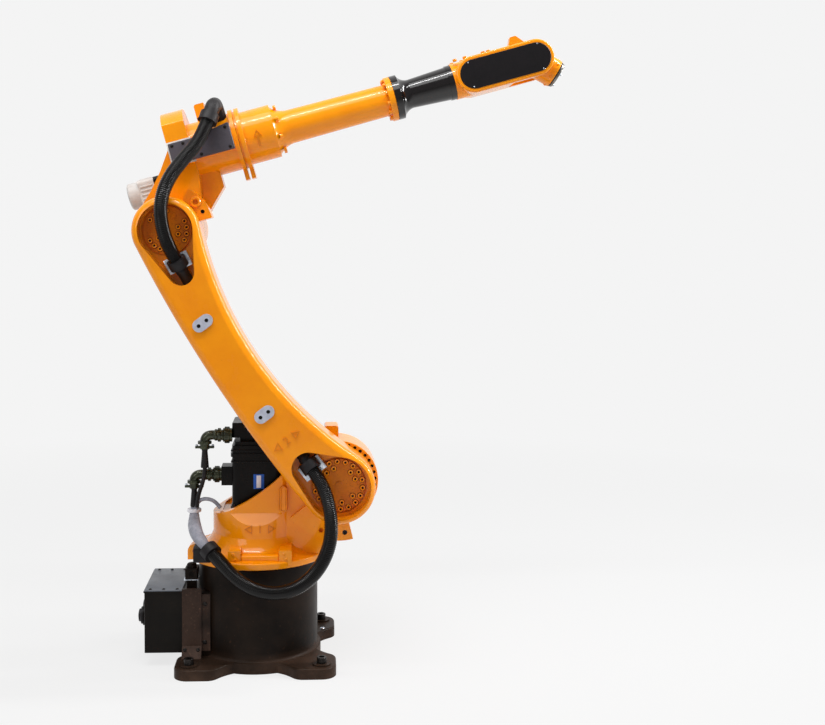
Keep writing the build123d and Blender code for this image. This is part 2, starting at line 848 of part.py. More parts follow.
# Gear output discs, seen in the pockets
disc_front = -(arm_front - pocket_depth) - disc_proud
for name, run, radius in (
    ("shoulder_disc", 0, shoulder_disc),
    ("elbow_disc", lower_length, elbow_disc),
):
    with BuildPart() as disc:
        with BuildSketch(lower_plane(disc_front)):
            with Locations((run, 0)):
                Circle(radius)
        extrude(amount=-(-disc_front + hub_front - running_gap))
        chamfer(disc.faces().sort_by(Axis.Y)[0].edges(), disc_proud / 2)
        with BuildSketch(lower_plane(disc_front)):
            with Locations((run, 0)):
                Circle(disc_spot_radius)
        extrude(amount=disc_proud)
    save(disc, name)

# Bare mounting pads on the arm's side, each with two tapped holes
with BuildPart() as arm_pads:
    for run in pad_runs:
        with BuildSketch(lower_plane(-arm_front)) as pad:
            with Locations(Location((run, pad_side, 0), (0, 0, 90 + pad_tilt))):
                SlotOverall(pad_length, pad_width)
                with GridLocations(pad_hole_spacing, 0, 2, 1):
                    Circle(pad_hole / 2, mode=Mode.SUBTRACT)
        extrude(amount=pad_thick)
save(arm_pads, "arm_pads")

# Upper arm casting: elbow hub, web, rear block and round neck
with BuildPart() as upper_arm:
    with BuildSketch(upper_plane(elbow_hub_back)) as hub_outline:
        Circle(elbow_hub)
    extrude(amount=elbow_hub_back + hub_reach)
    fillet(upper_arm.faces().sort_by(Axis.Y)[0].edges(), edge_break)
    with BuildSketch(upper_plane(web_back)) as web:
        with BuildLine():
            Polyline(*web_rear_points, *web_front_points, close=True)
        make_face()
    extrude(amount=web_back + web_front)
    with BuildSketch(roll_plane(block_start)) as block:
        Circle(block_high)
        with Locations((0, (block_high - block_low) / 2)):
            Rectangle(2 * block_half_width, block_high + block_low, mode=Mode.INTERSECT)
        fillet(block.vertices(), casting_round)
    extrude(amount=block_end - block_start)
    with BuildSketch(upper_plane(web_back)) as near_web:
        with BuildLine():
            Polyline(*web_rear_points, *near_web_points, close=True)
        make_face()
    extrude(amount=web_back + near_web_front)
    with BuildSketch(roll_plane(block_start)):
        Circle(neck_radius)
    extrude(amount=neck_end - block_start)
    with BuildSketch(roll_plane(neck_end)) as ring:
        Circle(ring_radius)
        with Locations((0, -ring_lug_reach / 2)):
            Rectangle(ring_lug_width, ring_lug_reach)
        fillet(ring.vertices().group_by(across_axis)[0], casting_round)
    extrude(amount=ring_width)
    fillet(upper_arm.faces().sort_by(forearm_axis)[-1].edges(), edge_break)
    with BuildSketch(upper_plane(-cover_face + cover_thick + gasket_thick)) as cover_pad:
        with Locations(((cover_start + neck_end) / 2, elbow_offset)):
            Rectangle(neck_end - cover_start, 2 * cover_pad_half)
    extrude(amount=-(cover_face - cover_thick - gasket_thick))
    with BuildSketch(upper_plane(eye_shift + eye_half_depth)) as eye:
        with Locations((eye_start + eye_width / 2, elbow_offset + eye_high / 2)):
            Rectangle(eye_width, eye_high)
        fillet(eye.vertices().group_by(across_axis)[-1], casting_round)
    extrude(amount=2 * eye_half_depth)
save(upper_arm, "upper_arm")

# Side cover on the neck, over a pale gasket plate
with BuildPart() as cover_gasket:
    with BuildSketch(upper_plane(-cover_face + cover_thick + gasket_thick)) as gasket:
        gasket_middle = elbow_offset + (cover_high - cover_low) / 2
        with Locations(((cover_start - gasket_lap + gasket_end) / 2, gasket_middle)):
            Rectangle(gasket_end - cover_start + gasket_lap, cover_high + cover_low + 2 * gasket_lap)
    extrude(amount=gasket_thick)
save(cover_gasket, "cover_gasket")
with BuildPart() as side_cover:
    with BuildSketch(upper_plane(-cover_face + cover_thick)) as cover:
        with BuildLine():
            Polyline(
                (cover_start, elbow_offset - cover_low),
                (cover_start, elbow_offset + cover_high),
                (gasket_end, elbow_offset + cover_high),
                (cover_end, elbow_offset + cover_high + cover_slope),
                (cover_end, elbow_offset - cover_low),
                close=True,
            )
        make_face()
        fillet(cover.vertices(), edge_round)
    extrude(amount=cover_thick)
    chamfer(side_cover.faces().sort_by(Axis.Y)[0].edges(), edge_break)
save(side_cover, "side_cover")

# Forearm drum behind the joint ring
ring_face = neck_end + ring_width + running_gap
with BuildPart() as forearm_drum:
    with BuildSketch(roll_plane(ring_face)):
        Circle(ring_groove_radius)
    extrude(amount=ring_groove)
    with BuildSketch(roll_plane(ring_face + ring_groove)) as drum_ring:
        Circle(ring_radius)
        with Locations((0, -ring_lug_reach / 2)):
            Rectangle(ring_lug_width, ring_lug_reach)
        fillet(drum_ring.vertices().group_by(across_axis)[0], casting_round)
    extrude(amount=ring_width)
    fillet(forearm_drum.faces().sort_by(forearm_axis)[-1].edges(), edge_break)
    with BuildSketch(roll_plane(ring_face + ring_groove + ring_width)):
        Circle(drum_radius)
    extrude(amount=drum_end - ring_face - ring_groove - ring_width)
save(forearm_drum, "forearm_drum")

# Forearm tube: a flared root with bolt pockets, a tapering tube and a front collar
with BuildPart() as forearm_tube:
    with BuildSketch(upper_plane(0)) as tube_profile:
        with BuildLine():
            Polyline(
                (cone_end, elbow_offset + tube_rear),
                (tube_end, elbow_offset + tube_front),
                (tube_end, elbow_offset + collar_radius),
                (tube_end + collar_width, elbow_offset + collar_radius),
                (tube_end + collar_width, elbow_offset),
                (drum_end, elbow_offset),
                (drum_end, elbow_offset + cone_radius),
            )
            RadiusArc(
                (drum_end, elbow_offset + cone_radius),
                (cone_end, elbow_offset + tube_rear),
                -(cone_end - drum_end) * cone_bend_share,
            )
        make_face()
    revolve(axis=forearm_axis)
    with BuildSketch(roll_plane(drum_end + tube_pocket_radius)):
        with PolarLocations(tube_pocket_circle, tube_pocket_count, 360 / tube_pocket_count / 2):
            Circle(tube_pocket_radius)
    extrude(amount=cone_end - drum_end, mode=Mode.SUBTRACT)
    tube_circles = forearm_tube.edges().filter_by(GeomType.CIRCLE)
    chamfer(tube_circles.filter_by(lambda e: abs(e.radius - collar_radius) < seat_gap), edge_break)
save(forearm_tube, "forearm_tube")

# Black sleeve between the forearm tube and the wrist
sleeve_start = tube_end + collar_width
sleeve_length = sleeve_end - sleeve_start
with BuildPart() as wrist_sleeve:
    with BuildSketch(upper_plane(0)) as sleeve_profile:
        with BuildLine():
            rim_edge = Polyline(
                (sleeve_start, elbow_offset),
                (sleeve_start, elbow_offset + sleeve_rim),
                (sleeve_start + sleeve_rim_width, elbow_offset + sleeve_rim),
            )
            neck_start = sleeve_start + sleeve_rim_width + sleeve_neck_run
            RadiusArc(rim_edge @ 1, (neck_start, elbow_offset + sleeve_neck), -sleeve_neck_bend)
            neck_curve = Polyline(
                (neck_start, elbow_offset + sleeve_neck),
                (sleeve_end - sleeve_band, elbow_offset + sleeve_barrel),
                (sleeve_end - sleeve_band, elbow_offset + sleeve_flare),
                (sleeve_end, elbow_offset + sleeve_flare),
            )
            Polyline(neck_curve @ 1, (sleeve_end, elbow_offset), (sleeve_start, elbow_offset))
        make_face()
    revolve(axis=forearm_axis)
save(wrist_sleeve, "wrist_sleeve")

# Wrist housing: a round root and two cheeks with rounded ends
with BuildPart() as wrist_housing:
    with BuildSketch(roll_plane(sleeve_end)):
        Circle(wrist_radius)
    extrude(amount=fork_root - wrist_root_back)
    with BuildSketch(upper_plane(wrist_half_width)) as housing:
        with Locations((forearm_reach - cover_span / 2, elbow_offset)):
            SlotCenterToCenter(cover_span, 2 * wrist_radius)
    extrude(amount=2 * wrist_half_width)
    fillet(wrist_housing.faces().filter_by(Axis.Y).edges(), wrist_round)
    with BuildSketch(roll_plane(sleeve_end)) as sleeve_room:
        Circle(2 * wrist_radius)
    extrude(amount=-sleeve_length, mode=Mode.SUBTRACT)
    with BuildSketch(upper_plane(fork_half_gap)) as fork:
        with Locations((forearm_reach + wrist_radius / 2, elbow_offset)):
            Rectangle(2 * fork_root + wrist_radius, 2 * wrist_radius + overrun)
    extrude(amount=2 * fork_half_gap, mode=Mode.SUBTRACT)
    for side in (-1, 1):
        with BuildSketch(upper_plane(side * wrist_half_width)) as cover_seat:
            with Locations((forearm_reach - cover_span / 2, elbow_offset)):
                SlotCenterToCenter(cover_span, 2 * (cover_plate_radius + seat_gap))
        extrude(amount=side * cover_recess, mode=Mode.SUBTRACT)
    with BuildSketch(upper_plane(wrist_half_width)) as bridge:
        with BuildLine():
            bridge_rear = forearm_reach - bridge_start
            bridge_base = elbow_offset + wrist_radius - wrist_round
            bridge_top = bridge_base + wrist_round + bridge_height
            Polyline(
                (bridge_rear, bridge_base),
                (bridge_rear + bridge_height / 2, bridge_top),
                (bridge_rear + bridge_length, bridge_top),
                (bridge_rear + 2 * bridge_length, bridge_base),
                close=True,
            )
        make_face()
        fillet(bridge.vertices(), edge_round)
    extrude(amount=wrist_half_width - fork_half_gap)
save(wrist_housing, "wrist_housing")
for side, name in ((-1, "near_wrist_cover"), (1, "far_wrist_cover")):
    with BuildPart() as wrist_cover:
        with BuildSketch(upper_plane(side * (wrist_half_width - cover_recess))) as wrist_plate:
            with Locations((forearm_reach - cover_span / 2, elbow_offset)):
                SlotCenterToCenter(cover_span, 2 * cover_plate_radius)
        extrude(amount=-side * cover_plate_thick)
        chamfer(wrist_cover.faces().sort_by(Axis.Y)[0 if side < 0 else -1].edges(), cover_plate_chamfer)
    save(wrist_cover, name)

# Wrist head: a hub between the cheeks and a snout that carries the tool flange
head_end = hand_reach - flange_thick - running_gap
with BuildPart() as wrist_head:
    head_side = wrist + Vector(0, fork_half_gap - running_gap, 0)
    with BuildSketch(Plane(origin=head_side, x_dir=hand_dir, z_dir=near_side)):
        Circle(head_hub)
    extrude(amount=2 * (fork_half_gap - running_gap))
    with BuildSketch(hand_plane(0)):
        Circle(head_hub)
    with BuildSketch(hand_plane(head_end)):
        Circle(head_neck)
    loft()
    fillet(wrist_head.faces().sort_by(Axis(wrist, hand_dir))[-1].edges(), edge_break)
save(wrist_head, "wrist_head")

# Tool flange with its pilot bore and tapped holes
with BuildPart() as tool_flange:
    with BuildSketch(hand_plane(hand_reach - flange_thick)):
        Circle(tool_radius)
    extrude(amount=flange_thick)
    chamfer(tool_flange.faces().sort_by(Axis(wrist, hand_dir))[-1].edges(), edge_break)
    with BuildSketch(hand_plane(hand_reach)):
        Circle(tool_pilot)
    extrude(amount=-tool_pilot_depth, mode=Mode.SUBTRACT)
    with BuildSketch(hand_plane(hand_reach)):
        with PolarLocations(tool_circle / 2, 4, 45):
            Circle(tool_screw / 2)
    extrude(amount=-tool_screw_depth, mode=Mode.SUBTRACT)
save(tool_flange, "tool_flange")

# Elbow motor on the far side of the hub
with BuildPart() as elbow_motor:
    elbow_rear = Plane(origin=elbow + Vector(0, elbow_hub_back, 0), x_dir=along_dir, z_dir=(0, 1, 0))
    with BuildSketch(elbow_rear) as elbow_case:
        Rectangle(elbow_motor_side, elbow_motor_side)
        fillet(elbow_case.vertices(), motor_corner)
    extrude(amount=elbow_motor_length)
    with BuildSketch(elbow_rear.offset(elbow_motor_length)) as elbow_cap:
        Rectangle(elbow_motor_side - motor_flange, elbow_motor_side - motor_flange)
        fillet(elbow_cap.vertices(), motor_corner)
    extrude(amount=side_motor_cap)
    fillet(elbow_motor.faces().sort_by(Axis.Y)[-1].edges(), casting_round)
save(elbow_motor, "elbow_motor")

# Roll motor behind the rear block, pale with a dark front collar
roll_centre = axis_start - across_dir * roll_motor_drop + Vector(0, roll_motor_y, 0)
roll_face = Plane(origin=roll_centre + along_dir * block_start, x_dir=(0, 1, 0), z_dir=-along_dir)
with BuildPart() as roll_motor_collar_piece:
    with BuildSketch(roll_face) as collar_section:
        Rectangle(2 * roll_motor_radius, 2 * roll_motor_radius)
        fillet(collar_section.vertices(), roll_motor_radius / 3)
    extrude(amount=block_start + roll_motor_front)
save(roll_motor_collar_piece, "roll_motor_collar")
with BuildPart() as roll_motor:
    with BuildSketch(roll_face.offset(block_start + roll_motor_front)) as roll_case:
        Rectangle(2 * roll_motor_radius, 2 * roll_motor_radius)
        fillet(roll_case.vertices(), roll_motor_radius / 3)
    extrude(amount=roll_motor_length - roll_motor_cap)
    with BuildSketch(roll_face.offset(block_start + roll_motor_front + roll_motor_length - roll_motor_cap)):
        Circle(roll_motor_radius)
    extrude(amount=roll_motor_cap)
    fillet(roll_motor.faces().sort_by(Axis(roll_centre, along_dir))[0].edges(), roll_motor_cap / 5)
save(roll_motor, "roll_motor")

# Elbow stop: an ear on the lower arm's upper end, with its screw holes
with BuildPart() as elbow_stop:
    stop_origin = elbow - Vector(0, arm_back, 0)
    with BuildSketch(Plane(origin=stop_origin, x_dir=(1, 0, 0), z_dir=near_side)) as stop_plate:
        with BuildLine():
            inner = CenterArc((0, 0), elbow_lobe + seat_gap, stopper_start, stopper_end - stopper_start)
            outer = CenterArc((0, 0), stopper_radius, stopper_start, stopper_end - stopper_start)
            Line(inner @ 0, outer @ 0)
            Line(inner @ 1, outer @ 1)
        make_face()
        fillet(stop_plate.vertices(), edge_round)
        for angle in stopper_hole_angles:
            with PolarLocations((elbow_lobe + stopper_radius) / 2, 1, angle):
                Circle(stopper_hole, mode=Mode.SUBTRACT)
    extrude(amount=stopper_thick)
save(elbow_stop, "elbow_stop")

# Clamps in the arm's pockets, each a ring on a saddle
pocket_floor = -(arm_front - pocket_depth)
for name, tip, before in (
    ("shoulder_clamp", shoulder_hose_route[-1], shoulder_hose_route[-2]),
    ("elbow_clamp", elbow_hose_route[0], elbow_hose_route[1]),
):
    inward = (tip - before).normalized()
    ring_plane = Plane(origin=tip - inward * clamp_width, z_dir=inward)
    with BuildPart() as clamp:
        with BuildSketch(ring_plane):
            Circle(clamp_radius)
        extrude(amount=clamp_width)
        turned = Vector(inward.X, 0, inward.Z)
        with BuildSketch(Plane(origin=(tip.X, pocket_floor, tip.Z), x_dir=turned, z_dir=near_side)):
            with Locations((-clamp_width / 2, 0)):
                Rectangle(clamp_leg_width, 2 * clamp_leg_reach)
        extrude(amount=clamp_leg_thick)
        with BuildSketch(ring_plane):
            Circle(hose_radius + seat_gap)
        extrude(amount=clamp_width, mode=Mode.SUBTRACT)
    save(clamp, name)

# Hoses, each a plain round tube
for name, route in (("shoulder_hose", shoulder_hose_route), ("elbow_hose", elbow_hose_route)):
    radii = bend_radii(route)
    with BuildPart() as hose:
        with BuildLine() as hose_line:
            FilletPolyline(*route, radius=radii)
        with BuildSketch(Plane(origin=route[0], z_dir=route[1] - route[0])):
            Circle(hose_radius)
        sweep()
    run = sum(edge.length for edge in hose_line.edges())
    section = hose_radius**2 * pi
    print(name, "length", round(run), "volume share", round(hose.part.volume / (section * run), 4))
    save(hose, name)

# Collar on the carousel's ear, holding the lower hose's first end
collar_tip = shoulder_hose_route[0]
collar_way = (shoulder_hose_route[1] - collar_tip).normalized()
with BuildPart() as hose_collar:
    with BuildSketch(side_plane(-ear_y)):
        with Locations((-ear_x + collar_block / 2, ear_z)):
            Rectangle(collar_block, 2 * ear_radius)
    extrude(amount=collar_depth)
    with BuildSketch(Plane(origin=collar_tip, z_dir=collar_way)):
        Circle(clamp_radius)
    extrude(amount=clamp_width)
    with BuildSketch(Plane(origin=collar_tip, z_dir=collar_way)):
        Circle(hose_radius + seat_gap)
    extrude(amount=clamp_width, mode=Mode.SUBTRACT)
    with BuildSketch(Plane(origin=collar_tip, z_dir=collar_way)):
        Circle(hose_radius + seat_gap)
    extrude(amount=-2 * clamp_width, mode=Mode.SUBTRACT)
    revolve(bowl.sketch, axis=Axis.Z, mode=Mode.SUBTRACT)
save(hose_collar, "hose_collar")

# Grey cable bundle from the collar up to the connectors, and the thinner lead beside it
power_tip = Vector(-motor_socket_reach - power_plug_reach, power_plug_y, motor_socket_z - boot_drop)
sense_tip = Vector(-motor_body / 2 - sense_plug_reach, sense_plug_y, sense_plug_z - boot_drop)
with BuildPart() as cable_bundle:
    with BuildLine():
        FilletPolyline(
            power_tip - Vector(0, 0, seat_gap),
            power_tip - Vector(0, 0, bundle_drop),
            collar_tip - collar_way * bundle_tail,
            collar_tip,
            radius=bundle_bend,
        )
    with BuildSketch(Plane(origin=power_tip - Vector(0, 0, seat_gap), z_dir=(0, 0, -1))):
        Circle(bundle_radius)
    sweep()
save(cable_bundle, "cable_bundle")
with BuildPart() as sense_lead:
    with BuildLine():
        FilletPolyline(
            sense_tip,
            sense_tip - Vector(0, 0, lead_drop),
            power_tip + Vector(*lead_landing) + Vector(0, 0, lead_drop / 2),
            power_tip + Vector(*lead_landing),
            radius=lead_drop / 3,
        )
    with BuildSketch(Plane(origin=sense_tip, z_dir=(0, 0, -1))):
        Circle(lead_radius)
    sweep()
save(sense_lead, "sense_lead")

# Rubber elbow that takes the upper hose over the neck, and the clamp that holds it
hose_end = elbow_hose_route[-1]
hose_way = (hose_end - elbow_hose_route[-2]).normalized()
with BuildPart() as hose_elbow:
    with BuildLine():
        top_point = hose_end + hose_way * elbow_rise
        over_point = axis_start + along_dir * elbow_over_along + across_dir * elbow_over_height
        over_point = over_point + Vector(0, elbow_over_y, 0)
        FilletPolyline(
            hose_end,
            top_point,
            over_point,
            axis_start + along_dir * elbow_over_along,
            radius=elbow_turn,
        )
    with BuildSketch(Plane(origin=hose_end, z_dir=hose_way)):
        Circle(elbow_boot_radius)
    sweep()
    with BuildSketch(roll_plane(block_end)):
        Circle(neck_radius)
    extrude(amount=neck_end - block_end, mode=Mode.SUBTRACT)
save(hose_elbow, "hose_elbow")
with BuildPart() as top_clamp:
    with BuildSketch(Plane(origin=hose_end, z_dir=-hose_way)):
        Circle(clamp_radius)
    extrude(amount=clamp_width)
    with BuildSketch(upper_plane(0)):
        with Locations((top_strap_along, elbow_offset + top_strap_height)):
            Rectangle(clamp_leg_width, clamp_leg_thick)
    extrude(amount=-hose_end.Y)
    with BuildSketch(Plane(origin=hose_end, z_dir=-hose_way)):
        Circle(hose_radius + seat_gap)
    extrude(amount=2 * clamp_width, mode=Mode.SUBTRACT)
    with BuildSketch(Plane(origin=hose_end, z_dir=hose_way)):
        Circle(elbow_boot_radius + seat_gap)
    extrude(amount=2 * clamp_width, mode=Mode.SUBTRACT)
    with BuildSketch(roll_plane(block_end)):
        Circle(neck_radius)
    extrude(amount=neck_end - block_end, mode=Mode.SUBTRACT)
save(top_clamp, "top_clamp")
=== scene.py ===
import bpy, math
from mathutils import Matrix, Vector


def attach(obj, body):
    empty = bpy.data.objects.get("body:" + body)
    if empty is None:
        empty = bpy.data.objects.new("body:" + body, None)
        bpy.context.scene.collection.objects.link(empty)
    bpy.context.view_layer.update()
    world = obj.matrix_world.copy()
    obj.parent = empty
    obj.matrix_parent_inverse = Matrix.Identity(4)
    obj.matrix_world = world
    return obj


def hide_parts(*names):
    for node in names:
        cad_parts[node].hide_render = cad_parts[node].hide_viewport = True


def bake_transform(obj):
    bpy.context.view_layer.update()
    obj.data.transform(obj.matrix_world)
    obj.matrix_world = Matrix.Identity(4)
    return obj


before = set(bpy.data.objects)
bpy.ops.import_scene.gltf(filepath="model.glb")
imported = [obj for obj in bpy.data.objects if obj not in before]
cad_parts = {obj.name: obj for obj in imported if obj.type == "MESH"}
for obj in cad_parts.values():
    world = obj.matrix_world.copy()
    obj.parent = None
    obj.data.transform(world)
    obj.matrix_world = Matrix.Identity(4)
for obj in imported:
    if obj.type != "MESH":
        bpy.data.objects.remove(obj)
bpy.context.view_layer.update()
print("frame loaded", len(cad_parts), "nodes")

# Axes of the arm, in metres and degrees, as the solids have them
arm = dict(
    shoulder=Vector((0.195, 0, 0.444)), lowerLength=0.715, lowerLean=33.7, elbowOffset=0.170,
    forearmReach=0.953, forearmRise=15.5, wristBend=45.5,
)


# A direction in the plane of the arm, by its angle above +X in degrees
def inPlane(angle):
    return Vector((math.cos(math.radians(angle)), 0, math.sin(math.radians(angle))))


toElbow, toRear = inPlane(90 + arm["lowerLean"]), inPlane(180 + arm["lowerLean"])
alongDir, acrossDir = inPlane(arm["forearmRise"]), inPlane(90 + arm["forearmRise"])
handDir = inPlane(arm["forearmRise"] - arm["wristBend"])
elbow = arm["shoulder"] + toElbow * arm["lowerLength"]
axisStart = elbow + acrossDir * arm["elbowOffset"]
wrist = axisStart + alongDir * arm["forearmReach"]
near, far = Vector((0, -1, 0)), Vector((0, 1, 0))
up, right = Vector((0, 0, 1)), Vector((1, 0, 0))


def lowerPoint(run, rear, y):
    return arm["shoulder"] + toElbow * run + toRear * rear + far * y


def upperPoint(along, across, y):
    return axisStart + alongDir * along + acrossDir * across + far * y


# Colours and materials
def hexColor(code):
    channels = [int(code[i:i + 2], 16) / 255 for i in (1, 3, 5)]
    return [c / 12.92 if c <= 0.04045 else ((c + 0.055) / 1.055) ** 2.4 for c in channels] + [1]


def addNode(tree, kind, settings=None, links=None):
    node = tree.nodes.new("ShaderNode" + kind)
    for key, value in (settings or {}).items():
        if isinstance(key, int) or key in node.inputs:
            node.inputs[key].default_value = value
        else:
            setattr(node, key, value)
    for key, source in (links or {}).items():
        tree.links.new(source, node.inputs[key])
    return node


# light and dark: the two ends of the broad patches, patch mm wide. peel: the fine skin, mm wide.
# speck: colour, mm and share of the small marks. grain: how far the skin is drawn out along x, y, z.
# dust: colour, share at the floor, and the heights in metres between which it thins out.
finishes = {
    # two-pack gloss enamel on sand castings: deep orange, wet highlights, orange peel about 4 mm wide
    "orangeGlossEnamel": dict(
        light="#F89A04", dark="#EE8A02", patch=120, peel=4.0, bump=0.12, rough=(0.20, 0.30), coat=0.5, shine=0.14,
        speck=("#C96E04", 5.0, 0.02)),
    # the same enamel, darker and duller, on the gear discs and their plugs; in the rib inlay's groove and the stop
    # boss's bore it is painted shade
    "orangeDullAndShadeEnamel": dict(
        light="#DE7F0A", dark="#C66A06", patch=35, peel=2.0, bump=0.22, rough=(0.30, 0.42), coat=0.1, shine=0.2,
        speck=("#8A4406", 4.0, 0.07)),
    # the same enamel on raised marks, a little darker: painted shade so that the marks read
    "orangeMarkShadeEnamel": dict(
        light="#E0830A", dark="#D07606", patch=20, peel=3.0, bump=0.12, rough=(0.26, 0.36), coat=0.3, shine=0.14,
        speck=("#B4620A", 4.0, 0.05)),
    # black enamel over cast iron, rubbed to a rust brown where hands and boots reach it
    "blackIronEnamel": dict(
        light="#231912", dark="#110C09", patch=110, peel=2.0, bump=0.28, rough=(0.34, 0.50), shine=0.09,
        speck=("#3B281C", 9.0, 0.035), dust=("#6A5142", 0.55, 0.008, 0.046)),
    # the same black on the bent sheet brackets, rubbed through to a warm brown
    "brownedSheetSteel": dict(
        light="#3B2B23", dark="#241A15", patch=60, peel=1.6, bump=0.2, rough=(0.34, 0.48), shine=0.12,
        speck=("#5F4638", 6.0, 0.06), dust=("#6E5549", 0.75, 0.030, 0.100)),
    # powder-coated sheet steel, a little blue, with a fine leather texture
    "bluishPowderCoat": dict(
        light="#5E636B", dark="#4B4F57", patch=60, peel=1.6, bump=0.2, rough=(0.28, 0.38), shine=0.3,
        speck=("#6E747C", 3.0, 0.05)),
    # the same powder coat in black, on the box's body
    "blackPowderCoat": dict(
        light="#17130F", dark="#0E0C0B", patch=80, peel=1.6, bump=0.2, rough=(0.34, 0.44), shine=0.10,
        speck=("#262321", 3.0, 0.04)),
    # black electrocoat on the motors' cast housings
    "blackMotorCoat": dict(
        light="#120E0C", dark="#090706", patch=40, peel=1.5, bump=0.14, rough=(0.24, 0.34), shine=0.13,
        speck=("#231E1C", 3.0, 0.04)),
    # glossy moulded polyamide, nearly a mirror along its length
    "blackGlossPolyamide": dict(
        light="#120D0E", dark="#090707", patch=60, peel=5.0, bump=0.04, rough=(0.10, 0.16), coat=0.35, shine=0.4,
        speck=("#211A1B", 4.0, 0.03)),
    # satin moulded cover with a fine spark-eroded grain
    "blackGrainedCover": dict(
        light="#191618", dark="#100E10", patch=50, peel=1.2, bump=0.30, rough=(0.40, 0.52), shine=0.2,
        speck=("#262226", 2.0, 0.10)),
    # grey-violet hammer paint on the sheet cover
    "greyHammerPaint": dict(
        light="#565158", dark="#423F46", patch=60, peel=2.4, bump=0.22, rough=(0.32, 0.44), coat=0.1,
        speck=("#5C5860", 3.0, 0.08)),
    # olive chromate on die-cast connector shells, worn to a brassy green
    "oliveChromate": dict(
        light="#454934", dark="#23261B", patch=20, peel=1.0, bump=0.08, rough=(0.16, 0.26), metal=0.45, coat=0.3,
        speck=("#74765A", 2.0, 0.03)),
    # sandblasted and clear-anodised aluminium, slightly blue
    "blastedAluminium": dict(
        light="#CFD2DF", dark="#B4B8C9", patch=16, peel=0.9, bump=0.2, rough=(0.36, 0.48), metal=0.45,
        speck=("#8D92A6", 1.6, 0.08)),
    # warm off-white enamel on the small motor
    "ivoryMotorEnamel": dict(
        light="#D6D2CE", dark="#C4BFBB", patch=40, peel=1.6, bump=0.14, rough=(0.28, 0.40), coat=0.2,
        speck=("#A9A29B", 3.0, 0.05)),
    # pale fibre sheet under the cover
    "paleFibreSheet": dict(
        light="#F3F1EC", dark="#E2DFD8", patch=20, peel=0.8, bump=0.2, rough=(0.6, 0.75),
        speck=("#CFCBC2", 1.5, 0.12)),
    # bright zinc plate with a faint spangle
    "brightZincPlate": dict(
        light="#DDE2EA", dark="#A9B2BF", patch=7, peel=0.8, bump=0.12, rough=(0.20, 0.34), metal=0.85,
        speck=("#8A93A2", 3.0, 0.10)),
    # black-oxide screws
    "blackOxideSteel": dict(
        light="#2C2826", dark="#181615", patch=6, peel=0.7, bump=0.15, rough=(0.28, 0.42), metal=0.5,
        speck=("#4B4038", 1.6, 0.08)),
    # lathe-turned steel face
    "turnedSteel": dict(
        light="#98958F", dark="#76736E", patch=14, peel=0.8, bump=0.12, rough=(0.24, 0.36), metal=0.9,
        speck=("#5E5B57", 2.0, 0.06)),
    # black chloroprene rubber, dry and a little chalky
    "blackRubber": dict(
        light="#1D1A1C", dark="#100E10", patch=16, peel=1.0, bump=0.25, rough=(0.42, 0.58),
        speck=("#332E31", 2.0, 0.08)),
    # corrugated polyamide conduit; its small grey-green specks are painted glints
    "conduitPolyamide": dict(
        light="#0E0C0C", dark="#070606", patch=18, peel=1.2, bump=0.06, rough=(0.15, 0.24), coat=0.10, shine=0.16,
        speck=("#2C3026", 2.6, 0.05)),
    # grey cloth tape wound over the cables, threads drawn a little coarser than real so that they show
    "greyClothTape": dict(
        light="#A2A3AE", dark="#83858F", patch=14, peel=1.6, bump=0.4, rough=(0.42, 0.56), grain=(1, 1, 4),
        speck=("#6A6C76", 1.6, 0.12)),
    # white nylon tie
    "whiteNylon": dict(
        light="#F1F0F4", dark="#DDDCE3", patch=8, peel=0.8, bump=0.1, rough=(0.35, 0.5),
        speck=("#C5C4CC", 1.5, 0.05)),
    # painted shade: the dark inside of holes and keys and the gap round screw heads
    "tappedHoleShade": dict(
        light="#0C0703", dark="#060301", patch=6, peel=0.8, bump=0.15, rough=(0.5, 0.65), shine=0.1,
        speck=("#1E1006", 1.2, 0.1)),
    # plain blue foil of the motor's blank plate
    "blueFoil": dict(
        light="#2F66C8", dark="#2353AC", patch=10, peel=0.8, bump=0.05, rough=(0.26, 0.36),
        speck=("#4B7FD6", 1.5, 0.05)),
}


